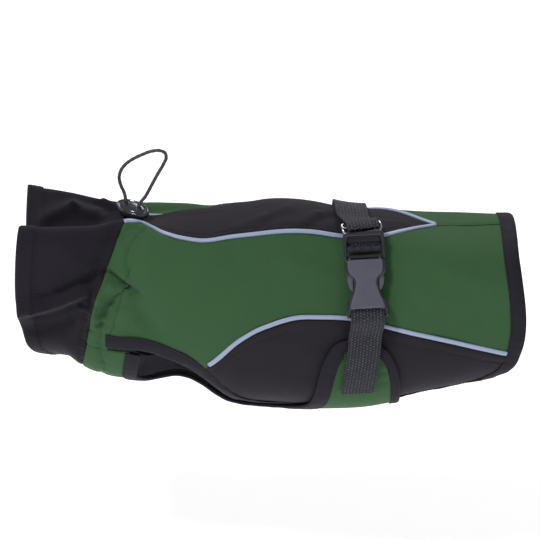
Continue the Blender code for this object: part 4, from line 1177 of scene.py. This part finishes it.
BUCKLE_LENGTH = 64.0
BUCKLE_TURN = (0.164, 0.447)
BUCKLE_CLEAR = 0.5
STRAP_LEAVES = 0.045
MALE_DEPTH = (3.2, 7.2)
FEMALE_DEPTH = (0.4, 10.0)
BAR = (12.5, 5.2)
BAR_RADIUS = 2.9
BAND = np.array((0.5, 0.0, -0.5)) * WEBBING_WIDTH
SLIDE_SIZE = (30.4, 10.5)
WIRE_RADIUS = 1.0
WIRE_STEP = 0.9
WING_BOX = (0.570, 0.682)  # turns between which the strap is sewn to a wing


def strap_u(turn):
    return smooth(turn, STRAP_TURN, STRAP_U)


def frame_of(origin, upward):
    """Matrix whose X runs across the strap, Y up along it and Z away from the cloth."""
    y = unit(upward)
    z = unit(np.cross((1.0, 0.0, 0.0), y))
    made = np.eye(4)
    made[:3] = np.stack([np.cross(y, z), y, z, origin], axis=-1)
    return made


def in_frame(place, points):
    return np.asarray(points, float) @ place[:3, :3].T + place[:3, 3]


def buckle_frame():
    """The buckle's back lies on the chord between its two ends, clear of the cloth that bulges
    through it."""
    turn = np.linspace(*BUCKLE_TURN, 25)
    path = surface(strap_u(turn), turn)
    upright = path[0] - path[-1]
    _, upward, outward, _ = frame_of(path[0], upright).T[:, :3]
    cloth = surface(strap_u(turn)[:, None] + BAND, turn[:, None])
    bulge = float(((cloth - path[0]) @ outward).max())
    middle = surface(strap_u(np.mean(BUCKLE_TURN)), np.mean(BUCKLE_TURN))
    top = middle + upward * BUCKLE_LENGTH / 2
    top = top + outward * ((path[0] - top) @ outward + bulge + BUCKLE_CLEAR)
    return frame_of(top, upright)


def slide_frame(buckle):
    upper = surface(strap_u(STRAP_LEAVES), STRAP_LEAVES, STRAP_LIFT + 4.6)
    lower = in_frame(buckle, (0.0, 1.6, MALE_DEPTH[1] - 0.6))
    return frame_of(lower + unit(upper - lower) * SLIDE_SIZE[1] / 2, upper - lower)


def ribbon(path, place):
    """Rows of three points across a band whose outer face follows (y, z) places in a frame."""
    return in_frame(place, np.array([[(x, y, z) for x in BAND] for y, z in path]))


def lying(turns, lifts):
    """Rows of three points across a band that lies on the coat."""
    return surface(strap_u(turns)[:, None] + BAND, turns[:, None], lifts[:, None])


def strap_lift(turn):
    return np.interp(np.abs(turn), *np.array(STRAP_LIFT_ROWS).T)


def arc(centre, radius, first, last, steps):
    angles = np.radians(np.linspace(first, last, steps))
    return [(centre[0] + radius * math.cos(a), centre[1] + radius * math.sin(a)) for a in angles]


def weave_height(along_mm, across_mm):
    """Weave of a strap, 0 to 1: yarns side by side, |cos(pi across / pitch)|^0.5, each a chain of
    floats, (0.5 + 0.5 cos(2 pi (along / cell + phase)))^0.8, the phase half a turn on in every
    second yarn."""
    cell, pitch = sizes().weave / MM, WEBBING_WIDTH / 27
    phase = 0.5 * (np.floor(across_mm / pitch + 0.5) % 2)
    floats = 0.5 + 0.5 * np.cos(2 * np.pi * (along_mm / cell + phase))
    return np.abs(np.cos(np.pi * across_mm / pitch)) ** 0.5 * floats ** 0.8


def webbing_piece(name, coarse, *nodes, curl=0.0):
    """Band over coarse rows of three points across: their places follow smooth curves by length
    along the middle and a parabola across, and the profile round it carries the weave's height on
    both faces and a round selvedge."""
    reach = lengths_along(coarse[:, 1])
    at = np.linspace(0, reach[-1], int(reach[-1] / WEBBING_STEP))
    left, middle, right = (threaded(smooth, at, reach, coarse[:, i]) for i in range(3))
    face, back = np.linspace(-1, 1, 82), np.linspace(1, -1, 28)[1:-1]
    share = np.concatenate([face, back])
    w = share[:, None]
    place = middle[:, None] + (right - left)[:, None] * w / 2
    place = place + (left + right - 2 * middle)[:, None] * w ** 2 / 2
    up = unit(np.cross(np.gradient(middle, axis=0), unit(right - left)))
    weave = weave_height(at[:, None], share * WEBBING_WIDTH / 2)
    selvedge = np.clip((np.abs(share) - 0.93) / 0.07, 0, 1) ** 2
    depth = sizes().weave_depth / MM
    top = (weave - 1) * depth - 0.55 * selvedge
    under = -WEBBING_THICK + (1 - weave) * depth * 0.6 + 0.45 * selvedge
    on_face = np.arange(len(share)) < len(face)
    rise = np.where(on_face, top, under) + curl * ripple(at, 0.0, 26.0, 7)[:, None]
    points = place + up[:, None] * rise[..., None]
    mesh = closed_run(name, points, ("strap_webbing",), measured=True)
    return add_piece(name, mesh, "webbing", *nodes)


def make_straps():
    """Back strap from the right wing over the back, round the male half's bar; its free end
    rolled over the slide; the short strap that is sewn to the left wing."""
    buckle = buckle_frame()
    turns = np.linspace(STRAP_TURN[0], STRAP_LEAVES, 30)
    under = BAR[1] - BAR_RADIUS
    hook = [(1.5, under), (-6.0, under), *arc((-BAR[0], BAR[1]), BAR_RADIUS, 270, 15, 11)]
    rows = np.concatenate([lying(turns, strap_lift(turns)), ribbon(hook, buckle)])
    webbing_piece("back_strap_webbing", rows, "back_strap")
    over = [(-6.8, 1.6), (-5.6, 2.7), (-3.4, 3.4), (-0.4, 3.7), (1.8, 3.2), (3.1, 2.2),
            (3.6, 0.9), (3.6, -0.5)]
    webbing_piece("strap_end_webbing", ribbon(over, slide_frame(buckle))[::-1], "strap_end")
    start = [(-55.4, 5.6), (-59.0, 6.0), (-63.6, 5.8)]
    turns = np.linspace(0.500, STRAP_TURN[-1], 13)
    rows = lying(turns, np.full_like(turns, WING_STRAP_LIFT))
    webbing_piece("belly_strap_webbing", np.concatenate([ribbon(start, buckle), rows]),
                  "belly_webbing", curl=0.12)


def rings_round(line, side, up, radius, count):
    """Circles of `count` points round a line's places, in the plane of its side and up vectors."""
    x, y = circle(count)[0].T[..., None]
    return line[:, None] + radius * (x * side[:, None] + y * up[:, None])


def ring_tube(name, line, radius, finish, around=14, closed=True):
    """Round wire along a flat path: circles in the plane of the side vector, which lies in the
    path's plane at right angles to it, and the vector at right angles to both."""
    if closed:
        run = unit(np.roll(line, -1, axis=0) - np.roll(line, 1, axis=0))
    else:
        run = unit(np.gradient(line, axis=0))
    directions = np.linalg.svd(line - line.mean(axis=0), full_matrices=False)[2]
    side = unit(np.cross(run, directions[-1]))
    points = rings_round(line, side, np.cross(run, side), radius, around)
    if closed:
        points = np.concatenate([points, points[:1]])
    shares = (np.linspace(0, 1, len(points)), np.linspace(0, 1, around + 1))
    uv = np.stack(np.meshgrid(*shares, indexing="ij"), axis=-1)
    return grid_mesh(name, points, uv, (finish,), wrap=True, caps=not closed)


def corners_round(half_x, half_y, radius, steps=8):
    """Closed line round a rectangle whose corners are quarter circles."""
    angle = np.radians(np.linspace(0, 90, steps) + np.array([[0], [90], [180], [270]]))
    sign_x, sign_y = np.array([[[1], [-1], [-1], [1]], [[1], [1], [-1], [-1]]])
    x = sign_x * (half_x - radius) + radius * np.cos(angle)
    y = sign_y * (half_y - radius) + radius * np.sin(angle)
    return np.stack([x.ravel(), y.ravel()], axis=-1)


def joined(name, meshes, slot_name, *nodes):
    """Several meshes as one piece."""
    objects = [placed(mesh.name, mesh) for mesh in meshes]
    piece = objects[0]
    with bpy.context.temp_override(active_object=piece, object=piece, selected_objects=objects,
                                   selected_editable_objects=objects):
        bpy.ops.object.join()
    piece.name = name
    piece.data.name = name
    return on_coat(piece, nodes)


def merged(mesh):
    """The mesh with its doubles merged, as where a closed ring's ends meet."""
    work = bmesh.new()
    work.from_mesh(mesh)
    bmesh.ops.remove_doubles(work, verts=work.verts, dist=2e-6)
    work.to_mesh(mesh)
    work.free()
    return mesh


def evaluated(source):
    """A new mesh of what an object's modifiers or curve make."""
    bpy.context.view_layer.update()
    return bpy.data.meshes.new_from_object(
        source.evaluated_get(bpy.context.evaluated_depsgraph_get()))


def moulded(name, outline, low, high, bevel, place, finish):
    """Plate between two depths of a frame with round edges: a filled flat curve, extruded and
    bevelled inside its outline, made a mesh in its place."""
    curve = bpy.data.curves.new(name, "CURVE")
    curve.dimensions = "2D"
    curve.fill_mode = "BOTH"
    curve.extrude = ((high - low) / 2 - bevel) * MM
    curve.bevel_depth = bevel * MM
    curve.bevel_resolution = 3
    curve.offset = -bevel * MM
    spline = curve.splines.new("POLY")
    spline.points.add(len(outline) - 1)
    flat = np.c_[np.array(outline) * MM, np.zeros(len(outline)), np.ones(len(outline))]
    spline.points.foreach_set("co", flat.ravel())
    spline.use_cyclic_u = True
    guide = placed(name, curve)
    mesh = merged(evaluated(guide))
    bpy.data.objects.remove(guide, do_unlink=True)
    lifted = place.copy()
    lifted[:3, 3] = (place[:3, 3] + place[:3, 2] * (low + high) / 2) * MM
    mesh.transform(Matrix(lifted.tolist()))
    mesh.shade_smooth()
    mesh.set_sharp_from_angle(angle=math.radians(40))
    mesh.name = name
    mesh.materials.clear()
    mesh.materials.append(material(finish))
    return mesh


def softened(outline, passes=2):
    """Outline with its corners cut off at a quarter and three quarters of each side, `passes`
    times."""
    line = np.array(outline, float)
    for _ in range(passes):
        onward = np.roll(line, -1, axis=0)
        line = np.stack([0.75 * line + 0.25 * onward, 0.25 * line + 0.75 * onward], axis=1)
        line = line.reshape(-1, 2)
    return line


def mirrored(right):
    return [*right, *((-x, y) for x, y in right[::-1])]


def slot_outline(low, high, half, radius):
    """Closed line round a rectangle between two heights."""
    return corners_round(half, (high - low) / 2, radius, 4) + np.array((0.0, (low + high) / 2))


def make_slide():
    """Wire slide: a rectangle of round wire with bent corners, its lower side tucked towards the
    cloth, and a bar across its middle."""
    place = slide_frame(buckle_frame())
    half_x, half_y = (length / 2 - WIRE_RADIUS for length in SLIDE_SIZE)
    outline = corners_round(half_x, half_y, 2.2)
    outline = np.c_[outline, np.zeros(len(outline))][[*range(len(outline)), 0]]
    reach = lengths_along(outline)
    line = threaded(np.interp, np.arange(WIRE_STEP / 2, reach[-1], WIRE_STEP), reach, outline)
    tucked = np.clip((-line[:, 1] - 1.0) / 5.0, 0, 1)[:, None] * np.array((0.0, -0.6, -3.6))
    loop = ring_tube("slide_loop", in_frame(place, line + tucked), WIRE_RADIUS, "plated_wire")
    line = np.zeros((24, 3))
    line[:, 0] = np.linspace(-half_x, half_x, len(line))
    line += 1e-4 * np.random.default_rng(1).random(line.shape)  # a straight line has no plane
    bar = ring_tube("slide_bar", in_frame(place, line), 0.95, "plated_wire", closed=False)
    joined("slide_wire", [merged(loop), bar], "slide_metal", "slide")


def make_buckle():
    """Side-release buckle, fastened: the male half's windowed frame and arms; the female half's
    body with side rails, a waisted face plate that stands above them and its webbing bar."""
    buckle = buckle_frame()

    def plate(name, outline, low, high, bevel, finish="rim_plastic"):
        return moulded(name, outline, low, high, bevel, buckle, finish)

    low, high = MALE_DEPTH
    edge = mirrored([(13.0, 0.2), (14.6, -0.6), (15.2, -3.0), (14.9, -10.0), (15.3, -18.6),
                     (14.7, -19.5), (12.8, -19.5), (12.6, -4.4), (11.4, -3.2)])
    parts = [
        plate("male_body", softened(edge, 1), low - 0.2, high + 0.6, 0.9),
        plate("male_lip", slot_outline(-3.2, 0.3, 13.2, 1.2), high - 1.0, high + 1.5, 0.9),
        plate("male_ramp", slot_outline(-7.4, -1.6, 12.8, 0.6), low - 0.4, low + 1.0, 0.5),
        plate("male_bar", slot_outline(-14.2, -10.9, 13.4, 1.2), low + 0.3, high - 0.1, 1.1),
        plate("male_sill", slot_outline(-19.6, -16.8, 13.4, 0.7), low - 0.2, low + 1.2, 0.5),
    ]
    for name, side in SIDES:
        arm = softened([(9.4, -19.0), (12.6, -19.0), (12.7, -31.0), (13.5, -33.0), (13.5, -36.0),
                        (12.4, -40.2), (10.6, -43.4), (9.1, -43.4), (9.4, -34.0)])
        arm = (arm * np.array((side, 1.0)))[::side]
        parts.append(plate(f"male_arm_{name}", arm, low - 0.4, high + 0.4, 1.1,
                           "satin_plastic"))
    joined("buckle_male_half", parts, "buckle_plastic", "buckle_male")
    low, high = FEMALE_DEPTH
    body = mirrored([(7.0, -19.9), (13.6, -20.2), (15.0, -21.4), (15.1, -29.5), (13.6, -31.6),
                     (10.4, -33.0), (9.2, -35.2), (9.0, -39.0), (9.8, -43.5), (12.4, -49.0),
                     (14.9, -52.4), (15.4, -61.6), (14.6, -63.2), (13.2, -63.0), (12.9, -55.8)])
    face = mirrored([(6.0, -20.3), (12.2, -20.5), (12.9, -21.2), (12.8, -28.0), (11.6, -31.0),
                     (8.5, -32.8), (7.6, -35.4), (7.5, -38.5), (8.8, -43.4), (10.4, -47.8),
                     (12.2, -52.6), (13.0, -55.4), (12.6, -56.2)])
    parts = [
        plate("female_body", softened(body, 1), low, high - 1.5, 1.1),
        plate("female_sill", slot_outline(-63.0, -60.2, 13.8, 0.9), low, low + 3.4, 0.9),
        plate("female_face", softened(face), high - 2.6, high + 0.5, 1.0, "satin_plastic"),
    ]
    joined("buckle_female_half", parts, "buckle_plastic", "buckle_female")


# ---------------------------------------------------------------- drawcord and its lock

LOCK_MIDDLE = (-111.0, 0.0, -2.3)
LOCK_SIZE = (28.0, 16.0, 8.4)
LOCK_TILT = 15.0
LOCK_SWING = -33.0
LOCK_HOLE = 5.9
LOCK_GIRTH_RADIUS = 12.0  # that of the round form by which the profile's length is measured
LOCK_PROFILE = (  # (share of the half width, height)
    (0.0, 3.9), (0.25, 3.85), (0.45, 3.65), (0.60, 3.3), (0.70, 2.85), (0.755, 2.3),
    (0.79, 2.0), (0.825, 2.15), (0.87, 2.5), (0.915, 2.5), (0.955, 2.15), (0.985, 1.5),
    (1.0, 0.6), (0.995, -0.4), (0.96, -1.5), (0.88, -2.6), (0.74, -3.4), (0.5, -3.95),
    (0.25, -4.15), (0.0, -4.2),
)
CORD_ROUTE = (
    (-117.0, 3.0, 9.5), (-119.5, 3.0, 16.0), (-120.5, 2.5, 22.5), (-119.3, 2.0, 27.5),
    (-116.2, 1.5, 32.5), (-110.4, 1.0, 37.3), (-103.6, 0.5, 41.0), (-95.8, 0.0, 44.2),
    (-89.8, 0.0, 44.6), (-86.2, 0.0, 42.8), (-85.4, -0.5, 39.2), (-87.2, -1.0, 34.8),
    (-91.8, -1.8, 26.8), (-96.6, -2.5, 17.8), (-101.0, -3.0, 9.6),
)


def lock_body(place):
    """Closed oval form: radius and height follow the lock's profile by length along it."""
    profile = np.array(LOCK_PROFILE)
    knots = lengths_along(profile * (LOCK_GIRTH_RADIUS, 1))
    share = np.linspace(0, 1, 64)
    radius, height = threaded(smooth, share * knots[-1], knots, profile).T
    radius = np.maximum(radius, 0.0)
    radius[[0, -1]] = 1e-4
    oval = radius[:, None, None] * circle(96)[0] * np.array(LOCK_SIZE[:2]) / 2
    points = np.dstack([oval, np.broadcast_to(height[:, None], oval.shape[:2])])
    uv = np.stack(np.meshgrid(share, np.linspace(0, 1, 97), indexing="ij"), axis=-1)
    return grid_mesh("lock_body", in_frame(place, points), uv, ("glossy_plastic",), wrap=True,
                     caps=True)


def lock_frame():
    tilt = Matrix.Rotation(math.radians(LOCK_TILT), 4, "X")
    swing = Matrix.Rotation(math.radians(LOCK_SWING), 4, "Z")
    return np.array(Matrix.Translation(Vector(LOCK_MIDDLE)) @ tilt @ swing)


def make_lock():
    """Cord lock: an oval turned form, the face a low dome with a groove before the rim's round
    bead; two holes with round lips go through it."""
    place = lock_frame()
    body = placed("lock_body", lock_body(place))
    bore = sizes().cord / MM / 2 + 0.35
    ring = circle(40)[0]
    lips = []
    for name, side in SIDES:
        aside = np.array((side * LOCK_HOLE, 0.0, 0.0))
        wall = np.stack([np.c_[ring * bore, np.full(len(ring), z)] for z in (-9.0, 9.0)])
        drill = grid_mesh(f"lock_hole_{name}", in_frame(place, wall - aside),
                          np.zeros((2, len(ring) + 1, 2)), (), wrap=True, caps=True)
        cutter = placed(drill.name, drill)
        cut = body.modifiers.new("hole", "BOOLEAN")
        cut.object = cutter
        cut.operation = "DIFFERENCE"
        holed = evaluated(body)
        body.modifiers.clear()
        body.data = holed
        bpy.data.objects.remove(cutter, do_unlink=True)
        lip = np.c_[ring * (bore + 0.32), np.full(len(ring), 3.45)] - aside
        lips.append(merged(ring_tube(f"lock_lip_{name}", in_frame(place, lip), 0.42,
                                     "glossy_plastic", 12)))
    holed = body.data
    bpy.data.objects.remove(body, do_unlink=True)
    holed.name = "lock_body"
    holed.shade_smooth()
    holed.set_sharp_from_angle(angle=math.radians(50))
    joined("cord_lock_body", [holed, *lips], "lock_plastic", "cord_lock")


def cord_line():
    """Smooth line of the drawcord by length through its route, both ends inside the lock."""
    place = lock_frame()
    middle, axis = place[:3, 3], place[:3, 2]
    ends = [middle - side * place[:3, 0] * LOCK_HOLE for _, side in SIDES]
    route = np.array([*(ends[0] + axis * rise for rise in (-2.0, 2.0, 6.0)), *CORD_ROUTE,
                      *(ends[1] + axis * rise for rise in (6.0, 2.0, -2.0))])
    reach = lengths_along(route)
    return threaded(smooth, np.linspace(0, reach[-1], 400), reach, route)


def make_drawcord():
    """Elastic loop: a tube whose radius is the cord's, less 0.09 mm and plus 0.09 mm of braid,
    the larger of sin(4 around + k along) and sin(4 around - k along)."""
    line = cord_line()
    run = unit(np.gradient(line, axis=0))
    side = unit(np.cross(run, (0.0, 1.0, 0.0)))
    around = circle(24)[1]
    reach = lengths_along(line)
    wave = reach[:, None] * 2 * np.pi / 4.2
    braid = np.maximum(np.sin(4 * around + wave), np.sin(4 * around - wave))
    wide = (sizes().cord / MM / 2 - 0.09 + 0.09 * braid)[..., None]
    points = rings_round(line, side, np.cross(side, run), wide, len(around))
    mesh = closed_run("drawcord_braid", points, ("braided_cord",))
    piece = add_piece("drawcord_braid", mesh, "elastic_cord", "drawcord")


# ---------------------------------------------------------------- the sewing


def binding_stitches():
    """The row that sews each binding down."""
    for name, (outer, inner) in binding_lines().items():
        line = ruled(outer, inner, [BINDING_ROW / BINDING_WIDTH])[:, 0]
        lift = 0.66 + (flap_lift(line[:, 0]) if name == "flap_binding" else 0.0)
        yield line_on_cloth(line, lift)


def strap_boxes():
    """The square with a cross that sews the strap to each wing."""
    low, high = WING_BOX
    w = WEBBING_WIDTH / 2 - 2.2
    corners = np.array(((-w, low), (w, low), (w, high), (-w, high), (-w, low), (w, high),
                        (-w, high), (w, low)))
    reach = run_lengths(corners)
    across, turn = threaded(np.interp, np.linspace(0, reach[-1], 600), reach, corners).T
    for _, side in SIDES:
        line = np.stack([strap_u(turn * side) + across, turn * side], axis=-1)
        yield line_on_cloth(line, WING_STRAP_LIFT + 0.08)


def make_stitching():
    """Rows of stitches on the panels' own faces."""
    turns = np.linspace(0.002, 0.998, 500)
    on_green = turns[turns > CHANNEL_START + 0.012]
    lower_u = np.linspace(MEET + 9, HEM - BINDING_WIDTH - 1, 500)
    lower_row = off_seam(lower_u, lower_turn(lower_u), LOWER_ROW + UNDER_PIPING)
    back_u = np.linspace(16, 214, 500)
    black, green = list(binding_stitches()), []
    for _, side in SIDES:
        for u, lift in ((1.2 - COLLAR_HEM, 0.75), *((-row, 0.1) for row in NECK_ROWS)):
            line = np.stack([np.full_like(turns, u), turns * side], axis=-1)
            black.append(seam_line(line, lift))
        line = np.stack([channel_u(on_green, side), on_green * side], axis=-1)
        green.append(seam_line(line, 0.75))
        back_row = off_seam(back_u, upper_turn(back_u, side), -BACK_ROW - UNDER_PIPING)
        black += [seam_line(turned(row, side)) for row in (lower_row, back_row)]
    rear_u = np.linspace(BACK_POINT + 3, HEM - BINDING_WIDTH, 200)
    rear_row = off_seam(rear_u, np.full_like(rear_u, 1e-3), REAR_ROW)
    green.append(seam_line(turned(rear_row, RIGHT), -0.1))
    stitching("black_stitching", black, "black_thread", "edge_binding")
    stitching("green_stitching", green, "green_thread", "green_softshell")
    stitching("strap_stitching", list(strap_boxes()), "black_thread", "webbing")


# ---------------------------------------------------------------- camera, lights and floor

AIM = (-9.0, 0.0, -51.8)
DISTANCE = 2000.0
ELEVATION = 24.5
FOCAL_PX = 2666.7
FRAME_PX = 540.0
FLOOR_Z = -300.0
FLOOR_HALF = 6000.0
SENSOR = 36.0


def area_light(name, place, target, width, power):
    lamp = bpy.data.lights.new(name, "AREA")
    lamp.shape = "DISK"
    lamp.size = width
    lamp.energy = power
    made = placed(name, lamp)
    made.location = place
    made.rotation_euler = (Vector(target) - Vector(place)).to_track_quat("-Z", "Y").to_euler()


def make_stage():
    """Camera at the photograph's angle, soft boxes, a pale world and a pale floor."""
    scene = bpy.context.scene
    lens = bpy.data.cameras.new("camera")
    lens.sensor_width = SENSOR
    lens.lens = SENSOR * FOCAL_PX / FRAME_PX
    lens.clip_end = 50.0
    camera = placed("camera", lens)
    tilt = math.radians(ELEVATION)
    away = Vector((0.0, -math.cos(tilt), math.sin(tilt)))
    camera.location = (Vector(AIM) + away * DISTANCE) * MM
    camera.rotation_euler = (-away).to_track_quat("-Z", "Y").to_euler()
    scene.camera = camera
    target = Vector(AIM) * MM
    area_light("key_light", (-0.9, -0.8, 1.9), target, 0.5, 26.0)
    area_light("fill_light", (0.9, -1.7, 0.25), target, 1.2, 1.6)
    area_light("back_light", (0.3, 1.3, 1.4), target, 0.9, 10.0)
    world = bpy.data.worlds.new("studio")
    world.use_nodes = True
    background = world.node_tree.nodes["Background"].inputs
    background[0].default_value = (1.0, 1.0, 1.0, 1.0)
    background[1].default_value = 0.26
    scene.world = world
    scene.view_settings.view_transform = "Standard"
    steps = np.linspace(-FLOOR_HALF, FLOOR_HALF, 3)
    x, y = np.meshgrid(steps, steps, indexing="ij")
    points = np.stack([x, y, np.full_like(x, FLOOR_Z)], axis=-1)
    placed("floor", grid_mesh("floor", points, points[..., :2] * MM,
                                       ("studio_floor",)))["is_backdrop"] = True


# ---------------------------------------------------------------- the add-on


class COAT_OT_stage(bpy.types.Operator):
    """Add the camera, the lights, the world and the floor"""

    bl_idname = "coat.stage"
    bl_label = "Build Stage"

    def execute(self, context):
        make_stage()
        return {"FINISHED"}


class COAT_OT_drawcord(bpy.types.Operator):
    """Add the elastic loop at the neck"""

    bl_idname = "coat.drawcord"
    bl_label = "Build Drawcord"

    def execute(self, context):
        make_drawcord()
        return {"FINISHED"}


class COAT_OT_cord_lock(bpy.types.Operator):
    """Add the oval lock on the drawcord"""

    bl_idname = "coat.cord_lock"
    bl_label = "Build Cord Lock"

    def execute(self, context):
        make_lock()
        return {"FINISHED"}


class COAT_OT_collar(bpy.types.Operator):
    """Add both halves of the collar with its hem"""

    bl_idname = "coat.collar"
    bl_label = "Build Collar"

    def execute(self, context):
        make_collar()
        return {"FINISHED"}


class COAT_OT_back_panel(bpy.types.Operator):
    """Add the black leaf between the upper pipings"""

    bl_idname = "coat.back_panel"
    bl_label = "Build Back Panel"

    def execute(self, context):
        make_back()
        return {"FINISHED"}


class COAT_OT_sides(bpy.types.Operator):
    """Add the green side panels"""

    bl_idname = "coat.sides"
    bl_label = "Build Sides"

    def execute(self, context):
        make_sides()
        return {"FINISHED"}


class COAT_OT_lowers(bpy.types.Operator):
    """Add the black panels below the lower pipings"""

    bl_idname = "coat.lowers"
    bl_label = "Build Lower Panels"

    def execute(self, context):
        make_lowers()
        return {"FINISHED"}


class COAT_OT_belly_flap(bpy.types.Operator):
    """Add the green belly piece with its wings"""

    bl_idname = "coat.belly_flap"
    bl_label = "Build Belly Flap"

    def execute(self, context):
        make_flap()
        return {"FINISHED"}


class COAT_OT_bindings(bpy.types.Operator):
    """Add the folded tapes of all free edges"""

    bl_idname = "coat.bindings"
    bl_label = "Build Bindings"

    def execute(self, context):
        make_bindings()
        return {"FINISHED"}


class COAT_OT_pipings(bpy.types.Operator):
    """Add the four reflective pipings"""

    bl_idname = "coat.pipings"
    bl_label = "Build Pipings"

    def execute(self, context):
        make_pipings()
        return {"FINISHED"}


class COAT_OT_straps(bpy.types.Operator):
    """Add the woven strap, its rolled end and the belly strap"""

    bl_idname = "coat.straps"
    bl_label = "Build Straps"

    def execute(self, context):
        make_straps()
        return {"FINISHED"}


class COAT_OT_slide(bpy.types.Operator):
    """Add the wire slide"""

    bl_idname = "coat.slide"
    bl_label = "Build Slide"

    def execute(self, context):
        make_slide()
        return {"FINISHED"}


class COAT_OT_buckle(bpy.types.Operator):
    """Add both halves of the buckle"""

    bl_idname = "coat.buckle"
    bl_label = "Build Buckle"

    def execute(self, context):
        make_buckle()
        return {"FINISHED"}


class COAT_OT_stitching(bpy.types.Operator):
    """Add every row of stitches"""

    bl_idname = "coat.stitching"
    bl_label = "Build Stitching"

    def execute(self, context):
        make_stitching()
        return {"FINISHED"}


OPERATORS = (
    COAT_OT_stage,
    COAT_OT_drawcord,
    COAT_OT_cord_lock,
    COAT_OT_collar,
    COAT_OT_back_panel,
    COAT_OT_sides,
    COAT_OT_lowers,
    COAT_OT_belly_flap,
    COAT_OT_bindings,
    COAT_OT_pipings,
    COAT_OT_straps,
    COAT_OT_slide,
    COAT_OT_buckle,
    COAT_OT_stitching,
)


class COAT_PT_panel(bpy.types.Panel):
    """Sizes, colours and the pieces, in the order in which they are built"""

    bl_idname = "COAT_PT_panel"
    bl_label = "Dog Softshell Coat"
    bl_space_type = "VIEW_3D"
    bl_region_type = "UI"
    bl_category = "Dog Coat"

    def draw(self, context):
        for title, group in (("Sizes", context.scene.dog_coat_sizes),
                             ("Colours", context.scene.dog_coat_colours)):
            column = self.layout.box().column()
            column.label(text=title)
            for field in group.__annotations__:
                column.prop(group, field)
        column = self.layout.column()
        for operator in OPERATORS:
            column.operator(operator.bl_idname)


CLASSES = (CoatSizes, CoatColours, *OPERATORS, COAT_PT_panel)


def register():
    for made in CLASSES:
        bpy.utils.register_class(made)
    bpy.types.Scene.dog_coat_sizes = bpy.props.PointerProperty(type=CoatSizes)
    bpy.types.Scene.dog_coat_colours = bpy.props.PointerProperty(type=CoatColours)


def unregister():
    del bpy.types.Scene.dog_coat_colours
    del bpy.types.Scene.dog_coat_sizes
    for made in reversed(CLASSES):
        bpy.utils.unregister_class(made)


def main():
    register()
    for operator in OPERATORS:
        area, name = operator.bl_idname.split(".")
        if getattr(getattr(bpy.ops, area), name)() != {"FINISHED"}:
            raise RuntimeError(f"{operator.bl_label} did not finish")
    boxes = {"cad": CAD_BOX, "visual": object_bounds()}
    plain = {key: np.array(box, float).reshape(2, 3).tolist() for key, box in boxes.items()}


if __name__ == "__main__":
    main()
